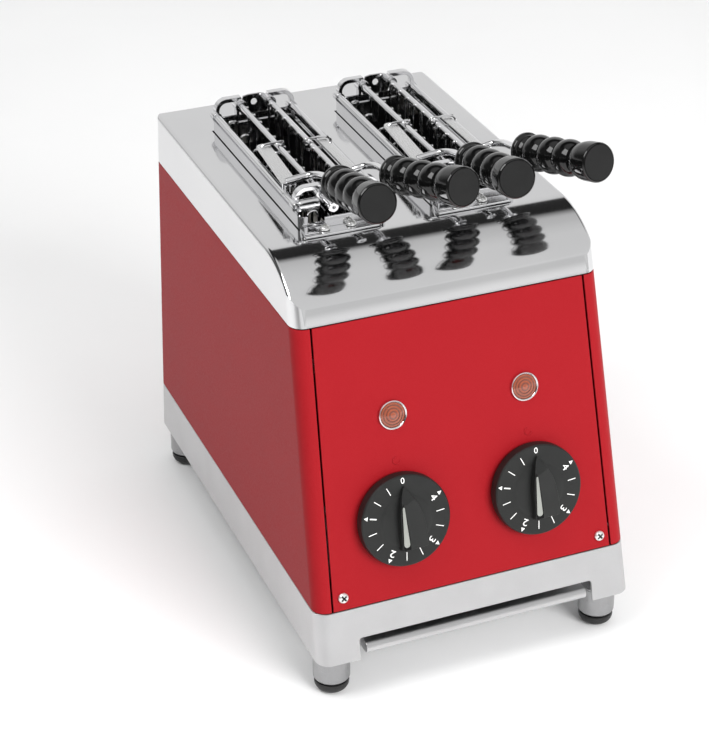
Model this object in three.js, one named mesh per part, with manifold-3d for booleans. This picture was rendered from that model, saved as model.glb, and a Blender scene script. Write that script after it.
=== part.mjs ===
// Two-slot tong toaster. Millimetres, +Z up, the front faces -Y, +X is the right-hand side seen from the front.
// Every piece is laid out from the rear face of the body (y = 0) and the floor (z = 0). At the end the whole
// assembly is slid along Y so that the origin is the middle of the footprint, on the floor.
import * as THREE from 'three';
import { mergeVertices } from 'three/addons/utils/BufferGeometryUtils.js';
import Module from 'manifold-3d';

const wasm = await Module();
wasm.setup();

// ---- driving dimensions -------------------------------------------------------------------------------------
const BODY_WIDTH = 200; // across the sides, at the lower edge of the top cover
const BODY_DEPTH = 267; // rear face to front panel, at the lower edge of the top cover
const BODY_HEIGHT = 173; // painted walls, between base frame and top cover
const BASE_HEIGHT = 33.5; // base frame
const COVER_HEIGHT = 32.5; // skirt and top of the steel cover
const FRONT_LEAN = 14.5; // degrees, the front panel comes forward towards its foot
const SIDE_FLARE = 1.9; // degrees, each side wall comes outward towards its foot
const CORNER_RADIUS = 9; // upright corners
const SHOULDER_RADIUS = 60; // big bend at the front of the cover
const BAND_HEIGHT = 11; // straight band at the front of the cover
const SHELL_WALL = 1.2; // painted shell and front panel
const COVER_WALL = 1.5;
const BASE_WALL = 2.5;
const SEAM = 0.4; // gap where one sheet sits on another
const FIT = 0.3; // gap between a seated piece and its seat

const SLEEVE_HEIGHT = 22;
const SLEEVE_RADIUS = 11.7;
const PAD_HEIGHT = 8;
const FOOT_INSET = 14.5; // foot axis to the nearest base edges

const PANEL_GAP_HALF = 88.3; // middle of the body to the seam beside the front panel, at its top edge
const SEAM_WIDTH = 1.2; // open seam beside the front panel
const KNOB_SPACING = 89;
const KNOB_HEIGHT = 113; // knob axis above the floor, where it meets the panel
const KNOB_RADIUS = 29.5;
const KNOB_DEPTH = 7.5;
const KNOB_CLEARANCE = 1; // knob to panel
const GRIP_BAR_HEIGHT = 6; // grip bar above the dial face
const POINTER_OFFSET = 3.6; // the pale pointer lies this far left of the dial's axis
const POINTER_HALF = 2.2;
const POINTER_DEPTH = 1.2;
const SHAFT_REACH = 14; // behind the panel
const SHAFT_RADIUS = 3;
const LAMP_SPACING = 87.5;
const LAMP_HEIGHT = 176.5;
const LAMP_RADIUS = 9.2; // outside of the bezel
const LAMP_LENS_RADIUS = 7.6;
const PANEL_SCREW_INSET = 6.6;
const PANEL_SCREW_HEIGHT = 71.5;
const SCREW_HEAD_RADIUS = 3.3;
const SCREW_HEAD_HEIGHT = 2.2;
const SCREW_SHANK_RADIUS = 1.6;
const TIMER_SIZE = 44;
const TIMER_DEPTH = 30;

const NOTCH_HALF = 79.5; // opening in the base front for the crumb tray
const NOTCH_HEIGHT = 13.5;
const TRAY_HALF = 75.5;
const TRAY_LIP_HEIGHT = 7.5;
const TRAY_WALL = 1;
const TRAY_LIFT = 1.5; // tray underside above the base underside

const TONG_PITCH = 87; // between the two tongs
const RIM_HALF = 28.5; // outside of a slot rim
const RIM_WALL = 1.6;
const RIM_HEIGHT = 8.5; // above the cover
const RIM_REAR = 42; // rear face of the body to the slot rim
const RIM_FRONT = 207;
const CHAMBER_HALF = 85; // one chamber holds both slots
const CHAMBER_WALL = 0.8;
const CHAMBER_REAR = 28;
const CHAMBER_FRONT = 221;
const CHAMBER_BOTTOM = 78;
const HEATER_RADIUS = 5;
const HEATER_OFFSET = 77.5; // middle of the body to the outer tubes
const HEATER_LEVELS = [112, 188];
const GUARD_OFFSET = 26; // slot centre to the guard wires
const GUARD_WIRE_RADIUS = 0.9;
const GUARD_WIRE_COUNT = 6;

const ROD_OFFSET = 10.2; // tong centre to a rod axis
const ROD_RISE = 17; // rod axis above the cover
const ROD_RADIUS = 2.2;
const GRID_WIRE_RADIUS = 1;
const GRID_WIRE_COUNT = 11;
const GRID_DROP = 128; // rod axis to the bottom bar
const PLATE_THICKNESS = 1.5; // end plates of a tong
const PLATE_TOP = 23; // above the cover
const REAR_PLATE = 46; // rear face of the body to the middle of the rear end plate
const FRONT_PLATE = 193;
const ROD_END = 214.5;
const ROD_HEAD = 2;
const ARM_THICKNESS = 1.6;
const GRIP_RADIUS = 12;
const GRIP_LENGTH = 72;
const GRIP_RIBS = 3;
const GRIP_START = { y: 214.5, rise: 31 }; // rear end of the grips: from the rear face, and above the cover
const GRIP_ENDS = [
  { start: -6.5, end: -10 }, // left grip: offset from the tong centre at its rear end and at its front end
  { start: 29.5, end: 44 }, // right grip
];
const GRIP_PITCH = 14.5; // degrees, grips rise towards the front
const ARM_CROSS = 175; // rear face of the body to the cross piece of an arm
const ARM_REAR = 112; // rear face of the body to the rear end of an arm
const ARM_WIDTH = 8;
const CROSS_WIDTH = 6;
const TANG_RADIUS = 2.4;
const TONG_LIFT_CLEARANCE = 0.3;

const GLAND_RADIUS = 9;
const GLAND_PROTRUSION = 9;
const GLAND_HEIGHT = 48;

// ---- levels and slopes that follow ----------------------------------------------------------------------------
const RAD = Math.PI / 180;
const LEAN = Math.tan(FRONT_LEAN * RAD);
const FLARE = Math.tan(SIDE_FLARE * RAD);
const Z_BASE = SLEEVE_HEIGHT + PAD_HEIGHT;
const Z_SHELL = Z_BASE + BASE_HEIGHT;
const Z_COVER = Z_SHELL + BODY_HEIGHT;
const Z_TOP = Z_COVER + COVER_HEIGHT;
const Z_ROD = Z_TOP + ROD_RISE;
const halfWidth = (z) => BODY_WIDTH / 2 + FLARE * (Z_COVER - z);
const frontY = (z) => -(BODY_DEPTH + LEAN * (Z_COVER - z));
const BASE_DEPTH = -frontY(Z_BASE);

// ---- materials ----------------------------------------------------------------------------------------------
const finish = (color, roughness, metalness) => new THREE.MeshStandardMaterial({ color, roughness, metalness });
const STEEL = finish(0xd4d4d6, 0.12, 1);
const ALUMINIUM = finish(0xc8c8c8, 0.45, 1);
const RED = finish(0xb01c28, 0.35, 0.5);
const CHROME = finish(0xdcdcde, 0.1, 1);
const ZINC = finish(0x9b9da0, 0.5, 1);
const BAKELITE = finish(0x0e0e0f, 0.15, 0);
const DIAL = finish(0x3c3e3d, 0.6, 0);
const RUBBER = finish(0x161616, 0.8, 0);
const AMBER = finish(0xb8622c, 0.2, 0);
const QUARTZ = finish(0xe9e2d8, 0.2, 0);
const MICA = finish(0xd8d2c4, 0.7, 0);

// ---- solid helpers ------------------------------------------------------------------------------------------
const solid = (geometry) => {
  const bare = geometry.clone();
  bare.deleteAttribute('normal');
  bare.deleteAttribute('uv');
  const merged = mergeVertices(bare, 1e-4);
  const vertProperties = new Float32Array(merged.attributes.position.array);
  const triVerts = new Uint32Array(merged.index.array);
  return new wasm.Manifold(new wasm.Mesh({ numProp: 3, vertProperties, triVerts }));
};

const toGeometry = (body) => {
  const { vertProperties, triVerts } = body.getMesh();
  const geometry = new THREE.BufferGeometry();
  geometry.setAttribute('position', new THREE.BufferAttribute(new Float32Array(vertProperties), 3));
  geometry.setIndex(new THREE.BufferAttribute(new Uint32Array(triVerts), 1));
  geometry.computeVertexNormals();
  return geometry;
};

const join = (...bodies) => bodies.reduce((sum, body) => sum.add(body));
const cut = (body, ...tools) => tools.reduce((rest, tool) => rest.subtract(tool), body);

const box = (x0, x1, y0, y1, z0, z1) => {
  const geometry = new THREE.BoxGeometry(x1 - x0, y1 - y0, z1 - z0);
  return solid(geometry.translate((x0 + x1) / 2, (y0 + y1) / 2, (z0 + z1) / 2));
};

// A cylinder or cone between two points.
const rod = (from, to, radius, sides = 12, endRadius = radius) => {
  const start = new THREE.Vector3(...from);
  const end = new THREE.Vector3(...to);
  const axis = end.clone().sub(start);
  const geometry = new THREE.CylinderGeometry(endRadius, radius, axis.length(), sides);
  geometry.applyQuaternion(new THREE.Quaternion().setFromUnitVectors(new THREE.Vector3(0, 1, 0), axis.normalize()));
  return solid(geometry.translate(...start.add(end).multiplyScalar(0.5).toArray()));
};

// A turned piece: [radius, height] pairs along +Z, then tipped so that +Z follows the given direction.
const turned = (profile, sides, at, direction = [0, 0, 1]) => {
  const points = profile.map(([radius, height]) => new THREE.Vector2(radius, height));
  const geometry = new THREE.LatheGeometry(points, sides);
  const toward = new THREE.Vector3(...direction).normalize();
  geometry.applyQuaternion(new THREE.Quaternion().setFromUnitVectors(new THREE.Vector3(0, 1, 0), toward));
  return solid(geometry.translate(...at));
};

// An upright loft: the outlines are rings of [x, y], all with the same number of points, one for each level.
const loft = (outlines, levels) => {
  const count = outlines[0].length;
  const positions = outlines.flatMap((outline, i) => outline.flatMap(([x, y]) => [x, y, levels[i]]));
  const index = [];
  for (let ring = 0; ring < outlines.length - 1; ring += 1) {
    for (let i = 0; i < count; i += 1) {
      const a = ring * count + i;
      const b = ring * count + ((i + 1) % count);
      index.push(a, b, b + count, a, b + count, a + count);
    }
  }
  const cap = THREE.ShapeUtils.triangulateShape(outlines[0].map(([x, y]) => new THREE.Vector2(x, y)), []);
  const last = (outlines.length - 1) * count;
  for (const [a, b, c] of cap) index.push(a, c, b, last + a, last + b, last + c);
  const geometry = new THREE.BufferGeometry();
  geometry.setAttribute('position', new THREE.Float32BufferAttribute(positions, 3));
  geometry.setIndex(index);
  return solid(geometry);
};

// Counter-clockwise rounded rectangle.
const roundedRing = (x0, x1, y0, y1, radius, steps = 5) => {
  const centres = [[x1 - radius, y0 + radius], [x1 - radius, y1 - radius], [x0 + radius, y1 - radius],
    [x0 + radius, y0 + radius]];
  return centres.flatMap(([cx, cy], corner) => Array.from({ length: steps + 1 }, (_, i) => {
    const angle = (corner - 1 + i / steps) * Math.PI / 2;
    return [cx + radius * Math.cos(angle), cy + radius * Math.sin(angle)];
  }));
};

// The leaning, flaring outer form of the body between two levels, set in by a wall.
const bodyForm = (z0, z1, inset = 0, radius = CORNER_RADIUS) => {
  const ring = (z) => roundedRing(inset - halfWidth(z), halfWidth(z) - inset, frontY(z) + inset, -inset,
    Math.max(radius - inset, 0.5));
  return loft([ring(z0), ring(z1)], [z0, z1]);
};

// A flat outline of [u, v] extruded by its thickness, then moved by the matrix.
const plate = (outline, thickness, matrix) => {
  const shape = new THREE.Shape(outline.map(([x, y]) => new THREE.Vector2(x, y)));
  const geometry = new THREE.ExtrudeGeometry(shape, { depth: thickness, bevelEnabled: false });
  return solid(geometry.applyMatrix4(matrix));
};

// Places an outline drawn in (x, z) as an upright plate whose rear face is at y.
const upright = (x, y, z) => new THREE.Matrix4().makeTranslation(x, y, z).multiply(
  new THREE.Matrix4().makeRotationX(Math.PI / 2));

const group = new THREE.Group();
const add = (name, body, material) => {
  const mesh = new THREE.Mesh(toGeometry(body), material);
  mesh.name = name;
  group.add(mesh);
};
const SIDES = [['left', -1], ['right', 1]];

// ---- front panel frame: points and directions on the leaning panel -------------------------------------------
const PANEL_NORMAL = [0, -Math.cos(FRONT_LEAN * RAD), Math.sin(FRONT_LEAN * RAD)];
const onPanel = (x, z, out = 0) => [x, frontY(z) + PANEL_NORMAL[1] * out, z + PANEL_NORMAL[2] * out];
const panelRod = (x, z, out0, out1, radius, sides, endRadius) => rod(onPanel(x, z, out0), onPanel(x, z, out1),
  radius, sides, endRadius);
// Turns shapes drawn in (x right, y up the panel, z out of the panel) onto the panel at a given place.
const panelMatrix = (x, z, out) => new THREE.Matrix4().makeTranslation(...onPanel(x, z, out)).multiply(
  new THREE.Matrix4().makeRotationX((90 - FRONT_LEAN) * RAD));

// ---- base -----------------------------------------------------------------------------------------------------
const makeBaseFrame = () => {
  const outer = bodyForm(Z_BASE, Z_SHELL - SEAM);
  const inner = bodyForm(Z_BASE - 1, Z_SHELL + 1, BASE_WALL);
  const wall = cut(outer, inner);
  const notch = box(-NOTCH_HALF, NOTCH_HALF, frontY(Z_BASE) - 1, frontY(Z_SHELL) + 2 * BASE_WALL,
    Z_BASE - 1, Z_BASE + NOTCH_HEIGHT);
  const pads = [-1, 1].flatMap((side) => footPlaces(side).map(([x, y]) => box(
    Math.min(x - side * 11, x + side * (FOOT_INSET - 1)), Math.max(x - side * 11, x + side * (FOOT_INSET - 1)),
    y > -BASE_DEPTH / 2 ? y - 11 : frontY(Z_BASE) + BASE_WALL, y > -BASE_DEPTH / 2 ? -BASE_WALL / 2 : y + 11,
    Z_BASE, Z_BASE + 2)));
  return cut(join(wall, ...pads.map((pad) => pad.intersect(bodyForm(Z_BASE, Z_SHELL, BASE_WALL / 2)))), notch);
};

const footPlaces = (side) => {
  const x = side * (halfWidth(Z_BASE) - FOOT_INSET);
  return [[x, -FOOT_INSET], [x, -BASE_DEPTH + FOOT_INSET + 4]];
};

const makeBasePan = () => {
  const level = Z_BASE + NOTCH_HEIGHT + 2;
  const sheet = bodyForm(level, level + SHELL_WALL, BASE_WALL + FIT);
  const window = box(-TRAY_HALF + 6, TRAY_HALF - 6, -CHAMBER_FRONT, -CHAMBER_REAR, level - 1, level + 5);
  return cut(sheet, window);
};

const makeSleeve = ([x, y]) => turned([[0, 0], [SLEEVE_RADIUS - 1.2, 0], [SLEEVE_RADIUS - 0.4, 0.8],
  [SLEEVE_RADIUS, SLEEVE_HEIGHT - FIT], [0, SLEEVE_HEIGHT - FIT]], 18, [x, y, PAD_HEIGHT]);

const makePad = ([x, y]) => {
  const radius = SLEEVE_RADIUS - 0.6;
  const height = PAD_HEIGHT - FIT;
  const dome = Array.from({ length: 5 }, (_, i) => {
    const angle = (i / 4) * 90 * RAD;
    return [radius * (0.45 + 0.55 * Math.sin(angle)), height * (1 - Math.cos(angle))];
  });
  return turned([[0, 0], ...dome, [0, height]], 16, [x, y, 0]);
};

const makeTray = () => {
  const z0 = Z_BASE + TRAY_LIFT;
  const front = frontY(Z_BASE) + 1;
  const rear = -CHAMBER_REAR + 4;
  const pan = cut(box(-TRAY_HALF + 2, TRAY_HALF - 2, front + 6, rear, z0, z0 + 7),
    box(-TRAY_HALF + 2 + TRAY_WALL, TRAY_HALF - 2 - TRAY_WALL, front + 7, rear - TRAY_WALL, z0 + TRAY_WALL, z0 + 9));
  const radius = TRAY_LIP_HEIGHT / 2;
  const lip = join(rod([-TRAY_HALF, front + radius, z0 + radius], [TRAY_HALF, front + radius, z0 + radius], radius, 20),
    box(-TRAY_HALF, TRAY_HALF, front + radius, front + 8, z0, z0 + TRAY_LIP_HEIGHT));
  return join(pan, lip);
};

// ---- painted shell and front panel ------------------------------------------------------------------------------
const PANEL_TOP = Z_COVER - SEAM / 2;
const PANEL_BOTTOM = Z_SHELL + SEAM / 2;
const panelEdge = (z, extra) => PANEL_GAP_HALF + extra + FLARE * (Z_COVER - z);

// The wedge of the front wall between the two seams.
const panelWedge = (extra, y1) => loft([PANEL_BOTTOM - 2, PANEL_TOP + 2].map((z) => {
  const half = panelEdge(z, extra);
  return [[-half, frontY(z) - 5], [half, frontY(z) - 5], [half, frontY(z) + y1], [-half, frontY(z) + y1]];
}), [PANEL_BOTTOM - 2, PANEL_TOP + 2]);

const makeShell = () => {
  const wall = cut(bodyForm(PANEL_BOTTOM, PANEL_TOP), bodyForm(PANEL_BOTTOM - 1, PANEL_TOP + 1, SHELL_WALL));
  const gland = rod([0, -5, GLAND_AXIS_Z], [0, 5, GLAND_AXIS_Z], GLAND_RADIUS + FIT, 24);
  return cut(wall, panelWedge(SEAM_WIDTH, 12), gland);
};

const makeFrontPanel = () => {
  const wall = cut(bodyForm(PANEL_BOTTOM, PANEL_TOP), bodyForm(PANEL_BOTTOM - 1, PANEL_TOP + 1, SHELL_WALL));
  const sheet = wall.intersect(panelWedge(0, 12));
  const holes = SIDES.flatMap(([, side]) => [
    panelRod(side * KNOB_SPACING / 2, KNOB_HEIGHT, -8, 4, SHAFT_RADIUS + 1, 20),
    panelRod(side * LAMP_SPACING / 2, LAMP_HEIGHT, -8, 4, LAMP_LENS_RADIUS - 0.8, 24),
    panelRod(side * panelScrewX, PANEL_SCREW_HEIGHT, -8, 4, SCREW_SHANK_RADIUS + 0.4, 12),
  ]);
  return cut(sheet, ...holes);
};
const panelScrewX = PANEL_GAP_HALF + FLARE * (Z_COVER - PANEL_SCREW_HEIGHT) - PANEL_SCREW_INSET;

const makePanelScrew = (side) => {
  const [x, y, z] = onPanel(side * panelScrewX, PANEL_SCREW_HEIGHT, FIT / 3);
  const head = turned([[0, 0], [SCREW_HEAD_RADIUS, 0], [SCREW_HEAD_RADIUS, 0.7], [SCREW_HEAD_RADIUS * 0.8, SCREW_HEAD_HEIGHT * 0.77],
    [0, SCREW_HEAD_HEIGHT]], 14, [x, y, z], PANEL_NORMAL);
  const shank = panelRod(side * panelScrewX, PANEL_SCREW_HEIGHT, -9, FIT, SCREW_SHANK_RADIUS, 8);
  const crosses = [[2.6, 0.6], [0.6, 2.6]].map(([w, h]) => solid(new THREE.BoxGeometry(2 * w, 2 * h, 1.6)
    .applyMatrix4(panelMatrix(side * panelScrewX, PANEL_SCREW_HEIGHT, SCREW_HEAD_HEIGHT))));
  return cut(join(head, shank), ...crosses);
};

// ---- top cover --------------------------------------------------------------------------------------------------
// Side profile of the cover in (y, z): flat top, big shoulder bend, then the straight front band.
const coverProfile = (inset) => {
  const bandTop = Z_COVER + BAND_HEIGHT;
  const bandY = frontY(bandTop) + inset;
  const centreZ = Z_TOP - SHOULDER_RADIUS;
  const radius = SHOULDER_RADIUS - inset;
  const drop = Z_TOP - bandTop;
  const sweep = Math.acos(1 - drop / SHOULDER_RADIUS);
  const centreY = frontY(bandTop) + SHOULDER_RADIUS * Math.sin(sweep);
  const arc = Array.from({ length: 13 }, (_, i) => {
    const angle = sweep * (1 - i / 12);
    return [centreY - radius * Math.sin(angle), centreZ + radius * Math.cos(angle)];
  });
  const foot = Z_COVER + SEAM / 2 - (inset > 0 ? 2 : 0);
  return [[frontY(foot) + inset, foot], ...(inset > 0 ? [[bandY, bandTop - inset]] : [[bandY, bandTop]]),
    ...arc.slice(1), [-inset, Z_TOP - inset], [-inset, foot]];
};

const coverForm = (inset) => {
  const profile = coverProfile(inset);
  const wide = BODY_WIDTH + 20;
  const shape = new THREE.Shape(profile.map(([y, z]) => new THREE.Vector2(y, z)));
  const geometry = new THREE.ExtrudeGeometry(shape, { depth: wide, bevelEnabled: false });
  // (y, z, x) onto (x, y, z)
  geometry.applyMatrix4(new THREE.Matrix4().set(0, 0, 1, -wide / 2, 1, 0, 0, 0, 0, 1, 0, 0, 0, 0, 0, 1));
  return solid(geometry).intersect(bodyForm(Z_COVER - 4, Z_TOP + 2, inset));
};

const slotX = (side) => side * TONG_PITCH / 2;

const makeCover = () => {
  const shell = cut(coverForm(0), coverForm(COVER_WALL));
  const slots = SIDES.map(([, side]) => loft([0, 1].map(() => roundedRing(slotX(side) - RIM_HALF + RIM_WALL - FIT,
    slotX(side) + RIM_HALF - RIM_WALL + FIT, -RIM_FRONT + RIM_WALL - FIT, -RIM_REAR - RIM_WALL + FIT, 4)),
  [Z_TOP - 10, Z_TOP + 5]));
  return cut(shell, ...slots);
};

// Slot rim: an upright collar round the slot, a throat down into it, and a screwed flange in front.
const SILL_HEIGHT = 4;
const FLANGE_FRONT = 219;
const FLANGE_THICKNESS = 1.6;
const THROAT_DEPTH = 12;
const TAB_WIDTH = 10;
const makeSlotFrame = (side) => {
  const x = slotX(side);
  const ring = (inset) => roundedRing(x - RIM_HALF + inset, x + RIM_HALF - inset, -RIM_FRONT + inset,
    -RIM_REAR - inset, 5);
  const collar = loft([ring(0), ring(0)], [Z_TOP + FIT, Z_TOP + RIM_HEIGHT]);
  const throat = loft([ring(RIM_WALL), ring(RIM_WALL)], [Z_TOP - THROAT_DEPTH, Z_TOP + RIM_HEIGHT]);
  const mouth = loft([ring(2 * RIM_WALL), ring(2 * RIM_WALL)], [Z_TOP - THROAT_DEPTH - 1, Z_TOP + RIM_HEIGHT + 1]);
  const lowSill = box(x - RIM_HALF + 5, x + RIM_HALF - 5, -RIM_FRONT - 1, -RIM_FRONT + 8,
    Z_TOP + SILL_HEIGHT, Z_TOP + RIM_HEIGHT + 1);
  const flangeRing = roundedRing(x - RIM_HALF - 2, x + RIM_HALF - 6, -FLANGE_FRONT, -RIM_FRONT + 4, 4);
  const flange = loft([flangeRing, flangeRing], [Z_TOP + FIT, Z_TOP + FIT + FLANGE_THICKNESS]);
  const tab = box(x - RIM_HALF, x - RIM_HALF + TAB_WIDTH, -FLANGE_FRONT + 2, -FLANGE_FRONT + 8,
    Z_TOP + FIT, Z_TOP + FIT + 2 * FLANGE_THICKNESS);
  return cut(join(collar, throat, flange, tab), mouth, lowSill);
};

// Beside the tab, and further along the flange.
const FLANGE_SCREWS = [['a', -RIM_HALF + TAB_WIDTH + SCREW_HEAD_RADIUS + 0.2], ['b', -RIM_HALF + 30.5]];
const makeFlangeScrew = (x) => turned([[0, 0], [SCREW_HEAD_RADIUS, 0], [SCREW_HEAD_RADIUS * 0.85, 1.3], [0, 2]], 16,
  [x, -FLANGE_FRONT + 6, Z_TOP + FIT + FLANGE_THICKNESS + FIT]);

// ---- chamber, heaters and guards --------------------------------------------------------------------------------
const CHAMBER_TOP = Z_TOP - THROAT_DEPTH - 2;
const HEATER_BANKS = [['left', -HEATER_OFFSET], ['centre', 0], ['right', HEATER_OFFSET]];
const makeChamber = () => {
  const ring = (inset) => roundedRing(inset - CHAMBER_HALF, CHAMBER_HALF - inset, -CHAMBER_FRONT + inset,
    -CHAMBER_REAR - inset, 4);
  const wall = cut(loft([ring(0), ring(0)], [CHAMBER_BOTTOM, CHAMBER_TOP]),
    loft([ring(CHAMBER_WALL), ring(CHAMBER_WALL)], [CHAMBER_BOTTOM - 1, CHAMBER_TOP + 1]));
  const holes = HEATER_LEVELS.flatMap((z) => HEATER_BANKS.map(([, x]) => rod([x, -CHAMBER_FRONT - 5, z],
    [x, -CHAMBER_REAR + 5, z], HEATER_RADIUS + FIT, 8)));
  return cut(wall, ...holes);
};

const makeHeater = (x, z) => {
  const tube = rod([x, -CHAMBER_FRONT - 2, z], [x, -CHAMBER_REAR + 2, z], HEATER_RADIUS, 8);
  const caps = [[-CHAMBER_FRONT - 9, -CHAMBER_FRONT - 2], [-CHAMBER_REAR + 2, -CHAMBER_REAR + 9]].map(([y0, y1]) => rod(
    [x, y0, z], [x, y1, z], HEATER_RADIUS + 1.5, 8));
  return join(tube, ...caps);
};

const GUARD_TOP = Z_TOP - THROAT_DEPTH - 4;
const guardWireY = (i) => -RIM_REAR - 8 - (i * (RIM_FRONT - RIM_REAR - 16)) / (GUARD_WIRE_COUNT - 1);
const makeGuard = (side, hand) => {
  const x = slotX(side) + hand * GUARD_OFFSET;
  const rails = [CHAMBER_BOTTOM + 10, GUARD_TOP - 4].map((z) => rod([x + hand * GUARD_WIRE_RADIUS, -CHAMBER_FRONT + 2, z],
    [x + hand * GUARD_WIRE_RADIUS, -CHAMBER_REAR - 2, z], 1.4, 5));
  const wires = Array.from({ length: GUARD_WIRE_COUNT }, (_, i) => rod([x, guardWireY(i), CHAMBER_BOTTOM + 4],
    [x, guardWireY(i), GUARD_TOP], GUARD_WIRE_RADIUS, 5));
  return join(...rails, ...wires);
};

// ---- controls ---------------------------------------------------------------------------------------------------
const makeTimer = (side) => {
  const x = side * KNOB_SPACING / 2;
  const block = solid(new THREE.BoxGeometry(TIMER_SIZE, TIMER_SIZE, TIMER_DEPTH)
    .applyMatrix4(panelMatrix(x, KNOB_HEIGHT, -TIMER_DEPTH / 2 - 3 - SHELL_WALL)));
  const neck = panelRod(x, KNOB_HEIGHT, -4 - SHELL_WALL, -SHELL_WALL - FIT, 2 * SHAFT_RADIUS, 20);
  return cut(join(block, neck), panelRod(x, KNOB_HEIGHT, -SHAFT_REACH - 2, 2, SHAFT_RADIUS + FIT, 20));
};

// Outline of the grip bar: pointed at the mark, straight on the left, bulging to the right, blunt at the foot.
const barOutline = (inset) => {
  const reach = KNOB_RADIUS - 7 - inset;
  const left = POINTER_OFFSET + POINTER_HALF - inset;
  return [[-left, -reach * 0.8], [reach * 0.5 - inset, -reach * 0.8], [reach * 0.52 - inset, -reach * 0.3],
    [reach * 0.42 - inset, reach * 0.3], [reach * 0.2 - inset, reach * 0.75], [0, reach], [-left * 0.6, reach * 0.6],
    [-left, 0]];
};

const makeKnob = (side) => {
  const x = side * KNOB_SPACING / 2;
  const place = onPanel(x, KNOB_HEIGHT, KNOB_CLEARANCE);
  const skirt = turned([[0, 0], [KNOB_RADIUS, 0], [KNOB_RADIUS, KNOB_DEPTH / 2], [KNOB_RADIUS - 1, KNOB_DEPTH - 1],
    [KNOB_RADIUS - 2, KNOB_DEPTH], [0, KNOB_DEPTH]], 32, place, PANEL_NORMAL);
  const bar = plate(barOutline(0), GRIP_BAR_HEIGHT + 1, panelMatrix(x, KNOB_HEIGHT, KNOB_CLEARANCE + KNOB_DEPTH - 1));
  // The right flank slopes from the ridge beside the pointer down to the dial face.
  const ridge = POINTER_HALF + FIT - POINTER_OFFSET + 1;
  const slope = plate([[ridge, GRIP_BAR_HEIGHT], [KNOB_RADIUS, 0.5], [KNOB_RADIUS, 2 * GRIP_BAR_HEIGHT],
    [ridge, 2 * GRIP_BAR_HEIGHT]], 2 * KNOB_RADIUS, panelMatrix(x, KNOB_HEIGHT, KNOB_CLEARANCE + KNOB_DEPTH)
    .multiply(new THREE.Matrix4().makeTranslation(0, KNOB_RADIUS, 0))
    .multiply(new THREE.Matrix4().makeRotationX(Math.PI / 2)));
  const shaft = panelRod(x, KNOB_HEIGHT, -SHAFT_REACH, KNOB_CLEARANCE + 1, SHAFT_RADIUS, 16);
  return cut(join(skirt, cut(bar, slope), shaft), insertPrism(x, FIT));
};

// The pale pointer let into the ridge of the grip bar, narrow towards the mark.
const insertPrism = (x, extra) => {
  const length = KNOB_RADIUS - 14 + extra;
  const half = POINTER_HALF + extra;
  const outline = [[-half, -length], [half, -length], [half * 0.4, length * 0.9], [-half * 0.4, length * 0.9]]
    .map(([u, v]) => [u - POINTER_OFFSET, v]);
  return plate(outline, POINTER_DEPTH + extra, panelMatrix(x, KNOB_HEIGHT,
    KNOB_CLEARANCE + KNOB_DEPTH + GRIP_BAR_HEIGHT - POINTER_DEPTH - extra / 2 + (extra > 0 ? 0 : FIT / 2)));
};

const makeBezel = (side) => {
  const place = onPanel(side * LAMP_SPACING / 2, LAMP_HEIGHT, FIT);
  const ring = turned([[LAMP_LENS_RADIUS + FIT, 0], [LAMP_RADIUS, 0], [LAMP_RADIUS - 0.3, 1.2],
    [LAMP_LENS_RADIUS + 0.8, 2], [LAMP_LENS_RADIUS + FIT, 1.4], [LAMP_LENS_RADIUS + FIT, 0]], 18, place, PANEL_NORMAL);
  return ring;
};

const makeLens = (side) => {
  const x = side * LAMP_SPACING / 2;
  const lens = turned([[0, 0], [LAMP_LENS_RADIUS, 0], [LAMP_LENS_RADIUS, 1.2], [LAMP_LENS_RADIUS * 0.6, 2.2],
    [0, 2.6]], 18, onPanel(x, LAMP_HEIGHT, FIT), PANEL_NORMAL);
  return join(lens, panelRod(x, LAMP_HEIGHT, -16, FIT + 0.2, LAMP_LENS_RADIUS - 1.2, 12));
};

const GLAND_AXIS_Z = Z_SHELL + GLAND_HEIGHT - BASE_HEIGHT + 12;
const makeGland = () => {
  const body = join(rod([0, GLAND_PROTRUSION, GLAND_AXIS_Z], [0, -8, GLAND_AXIS_Z], GLAND_RADIUS - FIT, 24),
    rod([0, GLAND_PROTRUSION, GLAND_AXIS_Z], [0, FIT, GLAND_AXIS_Z], GLAND_RADIUS + 2.5, 6));
  return cut(body, rod([0, GLAND_PROTRUSION + 1, GLAND_AXIS_Z], [0, -9, GLAND_AXIS_Z], 4, 20));
};

const makeTerminalBlock = () => box(-20, 20, -24, -12, Z_SHELL + 8, Z_SHELL + 28);

// ---- tongs --------------------------------------------------------------------------------------------------------
const RAIL_BOTTOM = Z_TOP + RIM_HEIGHT + TONG_LIFT_CLEARANCE;
const RAIL_HEIGHT = 2.6;
const RAIL_WIDTH = 3.2;

const arc = (cx, cy, radius, from, to, steps = 4) => Array.from({ length: steps + 1 }, (_, i) => {
  const angle = (from + (i / steps) * (to - from)) * RAD;
  return [cx + radius * Math.cos(angle), cy + radius * Math.sin(angle)];
});

// End plate outline in (x from the tong centre, z above the cover): a rounded arch on a flat foot.
const endPlateOutline = (bottom) => [[-RIM_HALF + 0.5, bottom], [RIM_HALF - 0.5, bottom],
  ...arc(RIM_HALF - 8.5, PLATE_TOP - 10, 8, 0, 80), [6, PLATE_TOP], [-6, PLATE_TOP],
  ...arc(-RIM_HALF + 8.5, PLATE_TOP - 10, 8, 100, 180)];

const windowOutline = (hand) => {
  const points = [[hand * 15, RIM_HEIGHT + 3.4], [hand * 24.5, RIM_HEIGHT + 3.4],
    ...arc(hand * 20.5, PLATE_TOP - 9, 4, hand > 0 ? 0 : 180, 90), [hand * 15, PLATE_TOP - 5.5]];
  return hand > 0 ? points : points.reverse();
};

const hubBore = (x, hand, y) => rod([x + hand * ROD_OFFSET, y - 4, Z_ROD], [x + hand * ROD_OFFSET, y + 4, Z_ROD],
  ROD_RADIUS + FIT, 8);

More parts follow.
